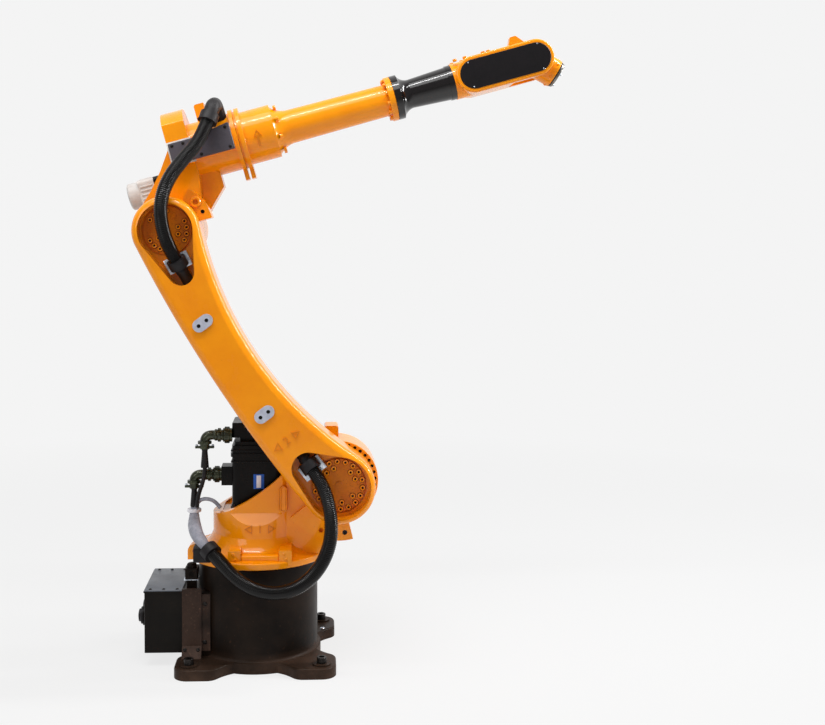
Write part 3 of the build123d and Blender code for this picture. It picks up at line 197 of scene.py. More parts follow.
def makeFinish(name):
    look = finishes[name]
    material = bpy.data.materials.new(name)
    material.use_nodes = True
    tree = material.node_tree
    shader = tree.nodes["Principled BSDF"]
    place = addNode(tree, "TexCoord").outputs["Object"]
    grain = {"Scale": look.get("grain", (1, 1, 1))}
    drawn = addNode(tree, "Mapping", grain, {"Vector": place}).outputs["Vector"]
    broad = {"Scale": 1000 / look["patch"], "Detail": 5.0, "Roughness": 0.62}
    patches = addNode(tree, "TexNoise", broad, {"Vector": place}).outputs["Fac"]
    tintSpan = {"From Min": 0.32, "From Max": 0.68}
    spread = addNode(tree, "MapRange", tintSpan, {"Value": patches}).outputs["Result"]
    tints = {"data_type": "RGBA", 6: hexColor(look["light"]), 7: hexColor(look["dark"])}
    color = addNode(tree, "Mix", tints, {0: spread}).outputs[2]
    speckColor, speckSize, speckShare = look["speck"]
    fine = {"Scale": 1000 / speckSize, "Detail": 3.0, "Roughness": 0.7}
    specks = addNode(tree, "TexNoise", fine, {"Vector": drawn}).outputs["Fac"]
    speckSpan = {"From Min": 0.66 - speckShare, "From Max": 0.78 - speckShare, "To Max": 0.75}
    worn = addNode(tree, "MapRange", speckSpan, {"Value": specks}).outputs["Result"]
    over = {"data_type": "RGBA", 7: hexColor(speckColor)}
    color = addNode(tree, "Mix", over, {0: worn, 6: color}).outputs[2]
    if "dust" in look:
        dustColor, dustShare, full, gone = look["dust"]
        height = addNode(tree, "SeparateXYZ", {}, {0: place}).outputs["Z"]
        thinning = {"From Min": full, "From Max": gone, "To Min": dustShare, "To Max": 0.0}
        settled = addNode(tree, "MapRange", thinning, {"Value": height}).outputs["Result"]
        uneven = addNode(tree, "Math", {"operation": "MULTIPLY"}, {0: settled, 1: spread}).outputs[0]
        over = {"data_type": "RGBA", 7: hexColor(dustColor)}
        color = addNode(tree, "Mix", over, {0: uneven, 6: color}).outputs[2]
    tree.links.new(color, shader.inputs["Base Color"])
    smooth, dull = look["rough"]
    polishSpan = {"From Min": 0.3, "From Max": 0.7, "To Min": smooth, "To Max": dull}
    polish = addNode(tree, "MapRange", polishSpan, {"Value": patches})
    tree.links.new(polish.outputs["Result"], shader.inputs["Roughness"])
    skin = {"Scale": 1000 / look["peel"], "Detail": 2.0}
    peel = addNode(tree, "TexNoise", skin, {"Vector": drawn}).outputs["Fac"]
    relief = {"Strength": look["bump"], "Distance": look["peel"] / 10000}  # a tenth of its width deep
    bump = addNode(tree, "Bump", relief, {"Height": peel})
    tree.links.new(bump.outputs["Normal"], shader.inputs["Normal"])
    shader.inputs["Metallic"].default_value = look.get("metal", 0)
    shader.inputs["Coat Weight"].default_value = look.get("coat", 0)
    shader.inputs["Coat Roughness"].default_value = 0.04
    shader.inputs["Specular IOR Level"].default_value = look.get("shine", 0.25)
    return material


paints = {name: makeFinish(name) for name in finishes}
print("materials made", len(paints))

# The solids that show; those replaced further down get their finish there
nodeFinish = {
    "orangeGlossEnamel": ["carousel_casting", "lower_arm", "upper_arm", "forearm_drum", "forearm_tube",
                          "wrist_housing", "wrist_head", "elbow_stop"],
    "orangeDullAndShadeEnamel": ["shoulder_disc", "elbow_disc"],
    "blackIronEnamel": ["base_casting", "turn_stop"],
    "brownedSheetSteel": ["near_bracket", "far_bracket"],
    "blackPowderCoat": ["connection_box"],
    "blackMotorCoat": ["turn_motor", "shoulder_motor", "roll_motor_collar"],
    "blackGlossPolyamide": ["wrist_sleeve"],
    "blackGrainedCover": ["near_wrist_cover", "far_wrist_cover"],
    "greyHammerPaint": ["side_cover"],
    "blastedAluminium": ["arm_pads"],
    "ivoryMotorEnamel": ["elbow_motor", "roll_motor"],
    "paleFibreSheet": ["cover_gasket"],
    "turnedSteel": ["tool_flange"],
    "blackRubber": ["shoulder_clamp", "elbow_clamp", "hose_collar", "hose_elbow", "top_clamp"],
}
for name, nodes in nodeFinish.items():
    for node in nodes:
        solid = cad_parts[node]
        solid.data.materials.clear()
        solid.data.materials.append(paints[name])
print("solids finished")


# Modelling helpers
def addObject(name, data):
    item = bpy.data.objects.new(name, data)
    bpy.context.collection.objects.link(item)
    return item


def clearSelection():
    if bpy.context.object and bpy.context.object.mode != "OBJECT":
        bpy.ops.object.mode_set(mode="OBJECT")
    bpy.ops.object.select_all(action="DESELECT")


def editAll():
    bpy.ops.object.mode_set(mode="EDIT")
    bpy.ops.mesh.select_all(action="SELECT")


def raiseFaces(height):
    bpy.ops.mesh.extrude_region_move(TRANSFORM_OT_translate={"value": (0, 0, height)})


# Selects the pieces and makes them one; a single piece is only selected
def joinPieces(pieces):
    clearSelection()
    for piece in pieces:
        piece.select_set(True)
    bpy.context.view_layer.objects.active = pieces[0]
    if len(pieces) > 1:
        bpy.ops.object.join()
    return pieces[0]


def pickFaces(piece, test):
    bpy.ops.object.mode_set(mode="OBJECT")
    for part in list(piece.data.vertices) + list(piece.data.edges) + list(piece.data.polygons):
        part.select = False
    for face in piece.data.polygons:
        face.select = bool(test(face))
    bpy.ops.object.mode_set(mode="EDIT")
    bpy.ops.mesh.select_mode(type="FACE")


def closeUp(piece):
    editAll()
    bpy.ops.mesh.remove_doubles(threshold=0.000001)
    bpy.ops.mesh.normals_make_consistent(inside=False)
    bpy.ops.object.mode_set(mode="OBJECT")


def wear(piece, finish, inside=None, test=None):
    piece.data.materials.append(paints[finish])
    if inside:
        piece.data.materials.append(paints[inside])
        for face in piece.data.polygons:
            face.material_index = int(bool(test(face)))
    return piece


def settle(piece, body, angle=35):
    joinPieces([piece])
    bpy.ops.object.transform_apply(location=True, rotation=True, scale=True)
    bpy.ops.object.shade_smooth_by_angle(angle=math.radians(angle))
    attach(piece, body)
    return piece


# A turned piece: a disc is extruded and resized ring by ring, (radius, height) each
def turnPiece(rings, sides=24):
    clearSelection()
    radius, height = rings[0]
    bpy.ops.mesh.primitive_circle_add(vertices=sides, radius=radius, fill_type="NGON", location=(0, 0, height))
    piece = bpy.context.object
    bpy.ops.object.transform_apply(location=True)
    editAll()
    for nextRadius, nextHeight in rings[1:]:
        raiseFaces(nextHeight - height)
        ratio = nextRadius / radius
        bpy.ops.transform.resize(value=(ratio, ratio, 1), center_override=(0, 0, nextHeight))
        radius, height = nextRadius, nextHeight
    closeUp(piece)
    return piece


# A block with rounded edges, its middle at the origin
def blockPiece(size, rounded, segments=2):
    clearSelection()
    bpy.ops.mesh.primitive_cube_add(size=1)
    piece = bpy.context.object
    piece.scale = size
    bpy.ops.object.transform_apply(scale=True)
    editAll()
    bpy.ops.mesh.bevel(offset=rounded, segments=segments, affect="EDGES")
    closeUp(piece)
    return piece


def facing(direction, turn=0):
    tilted = Vector(direction).to_track_quat("Z", "Y").to_matrix().to_4x4()
    return tilted @ Matrix.Rotation(math.radians(turn), 4, "Z")


# frames: where each copy stands and how it is turned
def copyInto(master, name, frames, body, angle=35):
    copies = []
    for place in frames:
        twin = masters[master].copy()
        twin.data = masters[master].data.copy()
        bpy.context.collection.objects.link(twin)
        twin.matrix_world = place
        copies.append(twin)
    joined = joinPieces(copies)
    joined.name = name
    return settle(joined, body, angle)


# places: point, direction that the top faces, size, and a turn in degrees about that direction
def copyTo(master, name, places, body, angle=35):
    frames = [Matrix.Translation(point) @ facing(direction, turn) @ Matrix.Scale(size, 4)
              for point, direction, size, turn in places]
    return copyInto(master, name, frames, body, angle)


def alike(points, direction, size):
    return [(Vector(point), direction, size, 0) for point in points]


def evenAngles(first, count):
    return [first + 360 / count * i for i in range(count)]


def ringPlaces(centre, direction, across, radius, angles, size):
    side = Vector(direction).cross(across)
    places = []
    for angle in angles:
        t = math.radians(angle)
        out = across * math.cos(t) + side * math.sin(t)
        places.append((centre + out * radius, direction, size, angle))
    return places


def squarePlaces(middle, first, second, half, direction, size):
    spots = [middle + (first * a + second * b) * half for a in (-1, 1) for b in (-1, 1)]
    return alike(spots, direction, size)


def placeOnce(piece, name, point, direction, body, turn=0, angle=35):
    piece.name = name
    piece.matrix_world = Matrix.Translation(point) @ facing(direction, turn)
    return settle(piece, body, angle)


def addBlock(name, block, direction, body):
    piece = blockPiece(block["size"], block["edge"], block.get("segments", 2))
    return placeOnce(wear(piece, block["finish"]), name, block["place"], direction, body)


# Screws, plugs and holes, each modelled once with a head 1 across, seated on z = 0
screwRings = {
    "cap": ((0.5, 0), (0.5, 0.54), (0.45, 0.60), (0.28, 0.60), (0.26, 0.28)),
    "dome": ((0.5, -0.04), (0.5, 0.06), (0.42, 0.17), (0.28, 0.24), (0.2, 0.25), (0.19, 0.12)),
    "rimmed": ((0.58, -0.05), (0.58, 0.01), (0.51, 0.012), (0.5, 0.22), (0.46, 0.27), (0.36, 0.27),
               (0.30, 0.24), (0.22, 0.22), (0.20, 0.03)),
    "plug": ((0.5, -0.05), (0.5, 0.05), (0.46, 0.08), (0.36, 0.08), (0.33, 0.03), (0.2, 0.03), (0.16, 0.07)),
    "hole": ((0.62, -0.05), (0.62, 0.03), (0.57, 0.06), (0.5, 0.06), (0.46, 0.012)),
}
# The parts of a head painted dark as shade, in shares of its width
headZones = dict(key=0.27, keyTop=0.3, unshadedBand=(0.215, 0.52), bore=0.5)


# painted shade on the floor of a screw's key
def keyFloor(face):
    return face.center.xy.length < headZones["key"] and face.center.z < headZones["keyTop"]


def keyAndGapShade(face):  # painted shade in the key and in the gap round the head
    inner, outer = headZones["unshadedBand"]
    return not inner <= face.center.xy.length <= outer


# painted shade on the floor of a hole
def boreFloor(face):
    return face.center.xy.length < headZones["bore"]


def modelScrew(kind, finish, sides=24, dark=None):
    return wear(turnPiece(screwRings[kind], sides), finish, "tappedHoleShade" if dark else None, dark)


masters = {
    "blackCap": modelScrew("cap", "blackOxideSteel"),
    "zincCap": modelScrew("cap", "brightZincPlate", dark=keyFloor),
    "orangeCap": modelScrew("cap", "orangeGlossEnamel", dark=keyFloor),
    "blackDome": modelScrew("dome", "blackOxideSteel", 16),
    "orangeDome": modelScrew("dome", "orangeGlossEnamel", 16),
    "zincDome": modelScrew("dome", "brightZincPlate", 16),
    "rimmed": modelScrew("rimmed", "orangeGlossEnamel", dark=keyAndGapShade),
    "plug": modelScrew("plug", "orangeDullAndShadeEnamel"),
    "hole": modelScrew("hole", "orangeGlossEnamel", 20, boreFloor),
    "darkHole": modelScrew("hole", "blackIronEnamel", 20, boreFloor),
    "padHole": modelScrew("hole", "blastedAluminium", 20, boreFloor),
}
print("screws modelled", len(masters))

# Dress hoses: finely corrugated conduit on a smooth line through the route's points, in mm.
# turn: the points between which a hose passes close to its joint's axis.
hoses = {
    "shoulder_hose": dict(
        route=((-110, -150, 298), (-79, -180, 275), (-46, -197, 243), (-5, -204, 218), (43, -207, 207),
               (91, -209, 216), (131, -213, 244), (159, -218, 284), (175, -222, 330), (177, -219, 379),
               (169, -206, 425), (150, -185, 466), (122, -168, 502)),
        bodies=("carousel", "lower_arm"), turn=((150, -190, 330), (150, -190, 500)), length=0.584,
    ),
    "elbow_hose": dict(
        route=((-170, -168, 955), (-190, -186, 993), (-203, -204, 1034), (-209, -213, 1079),
               (-203, -211, 1125), (-185, -197, 1166), (-161, -177, 1200), (-136, -154, 1232),
               (-118, -132, 1269), (-105, -114, 1310)),
        bodies=("lower_arm", "upper_arm"), turn=((-170, -168, 955), (-105, -114, 1310)), length=0.417,
    ),
}
conduit = dict(crest=0.0162, groove=0.0148, pitch=0.0042, sides=28)


def routeLine(name, route):
    line = bpy.data.curves.new(name + "Line", "CURVE")
    line.dimensions = "3D"
    spline = line.splines.new("NURBS")
    spline.points.add(len(route) - 1)
    for point, place in zip(spline.points, route):
        point.co = (*[c / 1000 for c in place], 1)
    spline.order_u = 3
    spline.use_endpoint_u = True
    spline.resolution_u = 24
    holder = addObject(name + "Line", line)
    traced = bpy.data.meshes.new_from_object(holder)
    points = [v.co.copy() for v in traced.vertices]
    bpy.data.meshes.remove(traced)
    bpy.data.objects.remove(holder)
    bpy.data.curves.remove(line)
    return points


def evenSteps(points, step):
    lengths = [0]
    for a, b in zip(points, points[1:]):
        lengths.append(lengths[-1] + (b - a).length)
    count = max(2, round(lengths[-1] / step))
    spots, i = [], 0
    for n in range(count + 1):
        want = lengths[-1] * n / count
        while i < len(points) - 2 and lengths[i + 1] < want:
            i += 1
        share = (want - lengths[i]) / max(lengths[i + 1] - lengths[i], 1e-9)
        spots.append(points[i].lerp(points[i + 1], share))
    return spots


tubeCrease = 60  # degrees; sharper corners show as edges


# A tube on a line's even steps; width gives the radius at a step and a share of the way
def modelTube(name, line, step, width, sides, finish):
    spots = evenSteps(line, step)
    verts, faces = [], []
    side = far
    for i, spot in enumerate(spots):
        radius = width(i, i / (len(spots) - 1))
        way = (spots[min(i + 1, len(spots) - 1)] - spots[max(i - 1, 0)]).normalized()
        side = (side - way * side.dot(way)).normalized()
        other = way.cross(side)
        for k in range(sides):
            t = 2 * math.pi * k / sides
            verts.append(spot + (side * math.cos(t) + other * math.sin(t)) * radius)
    for i in range(len(spots) - 1):
        for k in range(sides):
            after = (k + 1) % sides
            faces.append((i * sides + k, i * sides + after, (i + 1) * sides + after, (i + 1) * sides + k))
    faces.append(tuple(reversed(range(sides))))
    faces.append(tuple((len(spots) - 1) * sides + k for k in range(sides)))
    mesh = bpy.data.meshes.new(name)
    mesh.from_pydata(verts, [], faces)
    piece = addObject(name, mesh)
    joinPieces([piece])
    closeUp(piece)
    bpy.ops.object.shade_smooth_by_angle(angle=math.radians(tubeCrease))
    mesh.materials.append(paints[finish])
    return piece


for name, hose in hoses.items():
    line = routeLine(name, hose["route"])
    ribs = (conduit["crest"], conduit["crest"], conduit["groove"], conduit["groove"])
    piece = modelTube(name + "Conduit", line, conduit["pitch"] / len(ribs), lambda i, share: ribs[i % len(ribs)],
                      conduit["sides"], "conduitPolyamide")
    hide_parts(name)
    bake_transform(piece)
print("hoses laid")

# Cables below the connectors: the taped bundle, fullest in its middle, the rubber lead beside it,
# and a grey lead that loops from the bundle's top over the bowl's rim and drops inside
cables = {
    "cable_bundle": dict(
        route=((-156, -10, 365.1), (-156, -12, 341.5), (-151, -60, 328), (-135, -125, 316), (-110, -150, 298)),
        radius=0.0162, ends=(0.0080, 0.0105), tape=0.0105, step=0.0015, sides=32,
        piece="cableBundle", finish="greyClothTape",
        stiffness=None,  # under 6 diameters long, so no cord of its own
    ),
    "sense_lead": dict(
        route=((-127, -42, 467.5), (-128, -42, 440), (-147, -23, 392), (-148, -22, 365.9)),
        radius=0.0050, length=0.109, ends=(0.0050, 0.0050), step=0.002, sides=16,
        piece="senseLead", finish="blackRubber", stiffness="medium",
    ),
    "loopLead": dict(
        route=((-152, -16, 352), (-150, -18, 372), (-138, -24, 386), (-118, -30, 388), (-100, -34, 380),
               (-90, -36, 366)),
        radius=0.0046, length=0.095, ends=(0.0046, 0.0046), step=0.002, sides=16,
        piece="loopLead", finish="greyClothTape", stiffness="medium",
    ),
}
taping = dict(lap=0.0007, fullness=0.75)


def cableWidth(cable):
    first, last = cable["ends"]

    def width(i, share):
        swell = math.sin(math.pi * share) ** taping["fullness"]
        edge = first + (last - first) * share
        lap = 0
        if "tape" in cable:  # each turn of tape laps the last
            lap = (i * cable["step"] / cable["tape"]) % 1 * taping["lap"]
        return edge + (cable["radius"] - edge) * swell - lap
    return width


for name, cable in cables.items():
    line = routeLine(name, cable["route"])
    piece = modelTube(cable["piece"], line, cable["step"], cableWidth(cable), cable["sides"], cable["finish"])
    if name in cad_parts:
        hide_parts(name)
    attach(piece, "carousel")
print("cables laid")

# Hose ends inside the arm's pockets: a plain sleeve from each clamp into the casting
sleeves = {
    "shoulder": dict(tip=(122, -168, 502), way=(-28, 17, 36), reach=0.046),
    "elbow": dict(tip=(-170, -168, 955), way=(20, 12, -38), reach=0.058),
}
sleeveRings = ((0.0136, -0.004), (0.0136, 0.004), (0.0146, 0.007), (0.0146, 0.012), (0.0136, 0.015))
for name, sleeve in sleeves.items():
    stub = wear(turnPiece(sleeveRings + ((0.0134, sleeve["reach"]),), 28), "blackRubber")
    placeOnce(stub, name + "SleeveEnd", Vector(sleeve["tip"]) / 1000, sleeve["way"], "lower_arm")

# Zinc saddles under the clamps, with upturned ends and their screws
saddle = dict(
    length=0.058, width=0.036, thick=0.0025, lip=0.013, edge=0.0007,
    seats=((Vector((0.133, -0.1512, 0.488)), 38), (Vector((-0.175, -0.1512, 0.965)), 27)),
    screwOut=0.0235, screwAlong=0.011, screwLift=0.0012, screwHead=0.008,
)


def modelSaddle():
    clearSelection()
    bpy.ops.mesh.primitive_cube_add(size=1)
    piece = bpy.context.object
    piece.scale = (saddle["length"], saddle["width"], saddle["thick"])
    bpy.ops.object.transform_apply(scale=True)
    ends = saddle["length"] / 2 - saddle["thick"]
    for end in (-ends, ends):
        editAll()
        bpy.ops.mesh.bisect(plane_co=(end, 0, 0), plane_no=(1, 0, 0))
    pickFaces(piece, lambda face: face.normal.z > 0.9 and abs(face.center.x) > ends)
    raiseFaces(saddle["lip"])
    closeUp(piece)
    soft = piece.modifiers.new("edge", "BEVEL")
    soft.width = saddle["edge"]
    soft.segments = 2
    bpy.ops.object.modifier_apply(modifier="edge")
    return wear(piece, "brightZincPlate")


masters["saddle"] = modelSaddle()
copyTo("saddle", "clampSaddles", [(point, near, 1, turn) for point, turn in saddle["seats"]], "lower_arm")
saddleScrews = []
for point, turn in saddle["seats"]:
    offset = inPlane(turn) * saddle["screwOut"] + inPlane(turn + 90) * saddle["screwAlong"]
    saddleScrews += [point + offset * side + near * saddle["screwLift"] for side in (-1, 1)]
copyTo("zincCap", "saddleScrews", alike(saddleScrews, near, saddle["screwHead"]), "lower_arm")
print("clamps dressed")

# Gear discs: rimmed screws on two circles, flat plugs between the groups
shoulderDisc = dict(
    middle=arm["shoulder"] - far * 0.147, head=0.0125, outer=0.056, first=14, count=18,
    inner=0.041, innerAngles=(21, 48, 107, 134, 194, 221, 280, 322),
)
elbowDisc = dict(
    middle=elbow - far * 0.147, head=0.0118, groups=(0, 120, 240),
    outer=0.0455, outerAngles=(-28.5, -9.5, 9.5, 28.5), inner=0.027, innerAngles=(-18, 18),
    plugCircle=0.036, plugAngle=68, plugHead=0.017,
)


def discPlaces(disc, circle, angles, head="head"):
    return ringPlaces(disc["middle"], near, right, disc[circle], angles, disc[head])


places = discPlaces(shoulderDisc, "outer", evenAngles(shoulderDisc["first"], shoulderDisc["count"]))
places += discPlaces(shoulderDisc, "inner", shoulderDisc["innerAngles"])
copyTo("rimmed", "shoulderDiscScrews", places, "lower_arm")
places = []
for group in elbowDisc["groups"]:
    places += discPlaces(elbowDisc, "outer", [group + angle for angle in elbowDisc["outerAngles"]])
    places += discPlaces(elbowDisc, "inner", [group + angle for angle in elbowDisc["innerAngles"]])
copyTo("rimmed", "elbowDiscScrews", places, "lower_arm")
plugAngles = [group + elbowDisc["plugAngle"] for group in elbowDisc["groups"]]
copyTo("plug", "elbowDiscPlugs", discPlaces(elbowDisc, "plugCircle", plugAngles, "plugHead"), "lower_arm")
print("gear discs dressed")

# Tapped holes of the two bare pads
pads = dict(runs=(0.240, 0.492), rear=0.046, tilt=3, spacing=0.022, face=-0.195, hole=0.0090)
padLine = inPlane(180 + arm["lowerLean"] + pads["tilt"])
padSpots = [lowerPoint(run, pads["rear"], pads["face"]) + padLine * side * pads["spacing"] / 2
            for run in pads["runs"] for side in (-1, 1)]
copyTo("padHole", "padHoles", alike(padSpots, near, pads["hole"]), "lower_arm")
print("pads dressed")

# Screws of the base, its brackets, its box and the turning stop
base = dict(
    anchor=0.155, anchorTop=0.028, anchorHead=0.023,
    strip=((-0.122, 0.152), (-0.123, 0.060)), stripFace=0.1002, stripHead=0.011,
    slope=(-0.169, -0.138), slopeAt=(0.1108, 0.0455), slopeWay=(0.81, 0.58), slopeHead=0.009,
    ground=(0.158, 0.088, 0.025), groundHead=0.012, stop=(-0.157, -0.077, 0.217), stopHole=0.011,
)
feet = squarePlaces(up * base["anchorTop"], right, far, base["anchor"], up, base["anchorHead"])
copyTo("blackCap", "anchorBolts", feet, "base")
(slopeY, slopeZ), (slopeOut, slopeUp) = base["slopeAt"], base["slopeWay"]
places = []
for side in (-1, 1):
    strip = [(x, side * base["stripFace"], z) for x, z in base["strip"]]
    places += alike(strip, far * side, base["stripHead"])
    slope = [(x, side * slopeY, slopeZ) for x in base["slope"]]
    places += alike(slope, Vector((0, side * slopeOut, slopeUp)), base["slopeHead"])
copyTo("blackDome", "bracketScrews", places, "base")
copyTo("zincDome", "groundScrew", alike([base["ground"]], up, base["groundHead"]), "base")
lid = dict(
    size=(0.0900, 0.1870, 0.0026), edge=0.0011, segments=3, place=(-0.2225, 0, 0.1815),
    finish="bluishPowderCoat", top=0.1828, head=0.008,
)
lidSpots = [(x, y, lid["top"]) for x in (-0.254, -0.190, -0.222) for y in (-0.082, 0.082)]
addBlock("boxLidSheet", lid, up, "base")
copyTo("blackDome", "boxLidScrews", alike(lidSpots, up, lid["head"]), "base")
inlets = dict(
    rings=((0.021, -0.002), (0.021, 0.004), (0.0195, 0.0055), (0.0155, 0.0055), (0.0155, 0.0095),
           (0.0135, 0.011), (0.006, 0.0125)),
    sides=12, places=((-0.276, -0.038, 0.107), (-0.276, 0.038, 0.107)),
)
masters["inlet"] = wear(turnPiece(inlets["rings"], inlets["sides"]), "blackRubber")
copyTo("inlet", "inletPlugs", alike(inlets["places"], -right, 1), "base")
copyTo("darkHole", "turnStopHole", alike([base["stop"]], near, base["stopHole"]), "base")
shim = dict(
    size=(0.035, 0.035, 0.0026), edge=0.0006, place=(-0.157, -0.062, 0.2035),
    finish="brightZincPlate",
)
addBlock("turnStopShim", shim, up, "base")
print("base dressed")

# Carousel: hub holes, stop screw, boss screws, band between the bosses, inlay of the upright rib
hub = dict(
    middle=arm["shoulder"] - far * 0.094, circle=0.0875, first=3.5, count=36, hole=0.0078,
    stop=(0.2104, -0.088, 0.3189), stopHead=0.0115,
)
hubAngles = evenAngles(hub["first"], hub["count"])
copyTo("hole", "hubHoles", ringPlaces(hub["middle"], near, right, hub["circle"], hubAngles, hub["hole"]), "carousel")
copyTo("blackCap", "stopArcScrew", alike([hub["stop"]], near, hub["stopHead"]), "carousel")
bosses = dict(middles=(-0.049, 0.070), screws=((-0.003, 0.284), (0.002, 0.271)), face=-0.152, head=0.0072)
bossSpots = [(x + shift, bosses["face"], z) for x in bosses["middles"] for shift, z in bosses["screws"]]
copyTo("orangeDome", "bossScrews", alike(bossSpots, near, bosses["head"]), "carousel")
band = dict(
    size=(0.089, 0.030, 0.022), edge=0.004, segments=3, place=(0.0105, -0.1355, 0.269),
    finish="orangeGlossEnamel",
)
addBlock("bossBand", band, up, "carousel")
ribInlay = dict(
    rings=((0.0098, -0.0085), (0.0098, 0.0004), (0.0082, 0.0030), (0.0064, 0.0030), (0.0050, 0.0010)),
    half=0.0225, place=(0.064, -0.093, 0.400),
)


# A turned boss, parted in the middle and drawn out into a pill
def modelRibInlay():
    piece = turnPiece(ribInlay["rings"])
    for vertex in piece.data.vertices:
        vertex.co.y += ribInlay["half"] if vertex.co.y > 0.00001 else -ribInlay["half"]
    # the inlay's side walls take the darker enamel: painted shade that outlines the pill
    return wear(piece, "orangeGlossEnamel", "orangeDullAndShadeEnamel", lambda face: abs(face.normal.z) < 0.8)


placeOnce(modelRibInlay(), "ribInlay", ribInlay["place"], near, "carousel")
print("carousel dressed")

# First motor: corner bolts, ridges round its case, and a blank plate
motor = dict(foot=0.374, corner=0.0545, head=0.013)
places = squarePlaces(up * motor["foot"], right, far, motor["corner"], up, motor["head"])
copyTo("blackCap", "motorBolts", places, "carousel")
ridge = dict(size=(0.126, 0.126, 0.0042), edge=0.0016, finish="blackMotorCoat")
addBlock("motorRidge1", {**ridge, "place": (0, 0, 0.484)}, up, "carousel")
addBlock("motorRidge2", {**ridge, "place": (0, 0, 0.511)}, up, "carousel")
plate = dict(
    size=(0.0255, 0.0355, 0.0012), edge=0.0004, place=(0.004, -0.061, 0.4356), finish="blueFoil",
)
platePanel = dict(
    size=(0.011, 0.030, 0.0008), edge=0.0003, place=(0.004, -0.0618, 0.4356), finish="whiteNylon",
)
addBlock("motorPlate", plate, near, "carousel")
addBlock("motorPlatePanel", platePanel, near, "carousel")
print("motor dressed")

# Connectors: a round elbow from socket to boot, knurled nut and rings, clamp bar with screws
plugs = {
    "sense_connector": dict(piece="senseConnector", start=Vector((-0.061, -0.042, 0.546)), reach=0.066),
    "power_connector": dict(piece="powerConnector", start=Vector((-0.088, -0.010, 0.444)), reach=0.068),
}
# profile: radius at each distance from the socket, kept to the end after the last.
# nut and firstRing are counted from the socket, the rest down from the corner.
plugBody = dict(
    bend=0.036, straight=0.0333, drop=0.0335, step=0.001, sides=28,
    profile=((0, 0.0165), (0.005, 0.0165), (0.0056, 0.0148), (0.019, 0.0148), (0.0195, 0.0172),
             (0.0215, 0.0172), (0.0222, 0.0130), (0.0355, 0.0130), (0.0365, 0.0142), (0.0415, 0.0142),
             (0.0430, 0.0116)),
    nut=0.0055, firstRing=0.0265, lastRing=0.0135, boot=0.0325, bar=0.0292,
    screw=0.0265, screwSide=0.0195, screwHead=0.006,
)
bootRings = ((0.0076, -0.001), (0.0076, 0.004), (0.0068, 0.006), (0.0096, 0.040), (0.0099, 0.0452),
             (0.0088, 0.0468), (0.0056, 0.0474))


def plugWidth(i, share):
    reached, radius = i * plugBody["step"], plugBody["profile"][0][1]
    for (a, first), (b, last) in zip(plugBody["profile"], plugBody["profile"][1:]):
        if reached >= a:
            radius = first + (last - first) * min(1, (reached - a) / (b - a))
    return radius


def anyFace(face):
    return True


def endFace(face):
    return abs(face.normal.z) > 0.9


# softened: the faces whose edges are rounded before every other side is raised as a ridge
def modelKnurl(radius, length, ridges, height, softened):
    clearSelection()
    bpy.ops.mesh.primitive_cylinder_add(vertices=2 * ridges, radius=radius, depth=length, location=(0, 0, length / 2))
    piece = bpy.context.object
    bpy.ops.object.transform_apply(location=True)
    pickFaces(piece, softened)
    bpy.ops.mesh.bevel(offset=length / 12, segments=2, affect="EDGES")

    def everyOther(face):
        place = math.atan2(face.center.y, face.center.x) / math.pi * ridges
        return abs(face.normal.z) < 0.1 and round(place - 0.5) % 2 == 0
    pickFaces(piece, everyOther)
    bpy.ops.mesh.extrude_region_shrink_fatten(TRANSFORM_OT_shrink_fatten={"value": height})
    closeUp(piece)
    return wear(piece, "oliveChromate")


masters["nut"] = modelKnurl(radius=0.0188, length=0.013, ridges=18, height=0.0013, softened=anyFace)
masters["ring"] = modelKnurl(radius=0.0158, length=0.008, ridges=15, height=0.0011, softened=endFace)
masters["boot"] = wear(turnPiece(bootRings), "blackRubber")
masters["bar"] = wear(blockPiece((0.046, 0.009, 0.006), 0.0012), "oliveChromate")
nuts, rings, boots, bars, barScrews = [], [], [], [], []
for name, plug in plugs.items():
    start = plug["start"]
    corner = start - right * plug["reach"]
    route = (start, corner + right * plugBody["bend"], corner, corner - up * plugBody["straight"],
             corner - up * plugBody["drop"])
    line = routeLine(name, [point * 1000 for point in route])
    piece = modelTube(plug["piece"], line, plugBody["step"], plugWidth, plugBody["sides"], "oliveChromate")
    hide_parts(name)
    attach(piece, "carousel")
    nuts += alike([start - right * plugBody["nut"]], -right, 1)
    rings += alike([start - right * plugBody["firstRing"]], -right, 1)
    rings += alike([corner - up * plugBody["lastRing"]], -up, 1)
    boots += alike([corner - up * plugBody["boot"]], -up, 1)
    bars += alike([corner - up * plugBody["bar"]], -up, 1)
    barEnds = [right * side * plugBody["screwSide"] for side in (-1, 1)]
    barScrews += alike([corner - up * plugBody["screw"] + end for end in barEnds], up, plugBody["screwHead"])
copyTo("nut", "connectorNuts", nuts, "carousel")
copyTo("ring", "connectorRings", rings, "carousel")
copyTo("boot", "connectorBoots", boots, "carousel", 50)
copyTo("bar", "connectorBars", bars, "carousel")
copyTo("zincCap", "connectorBarScrews", barScrews, "carousel")
tie = dict(rings=((0.0158, 0), (0.0172, 0.0012), (0.0172, 0.0068), (0.0158, 0.008)), place=(-0.156, -0.010, 0.3600))
placeOnce(wear(turnPiece(tie["rings"], 28), "whiteNylon"), "bundleTie", tie["place"], -up, "carousel")
print("connectors dressed")

# Relief marks lie on the casting: each point of a flat mark is cast onto the solid and lifted by its own height
marks = {
    "size": 0.027, "lift": 0.0022, "triangle": 0.0125, "apart": 0.025, "rim": 0.2, "sink": 0.8, "castFrom": 0.05,
    "1": dict(node="carousel_casting", place=(0.009, -0.2, 0.3315), turn=0, body="carousel"),
    "2": dict(node="lower_arm", place=(0.0745, -0.19, 0.556), turn=38, body="lower_arm"),
}
# stem: its width and length, and how far back it lies; head: its radius, and how far forward; all in shares
arrow = dict(
    length=0.040, width=0.015, stem=(0.4, 0.55, 0.2), head=(0.75, 0.18), node="forearm_drum",
    place=(0.0035, -0.065, 1.2620), way=(0, -1, 0.25), turn=15.5, body="forearm",
)


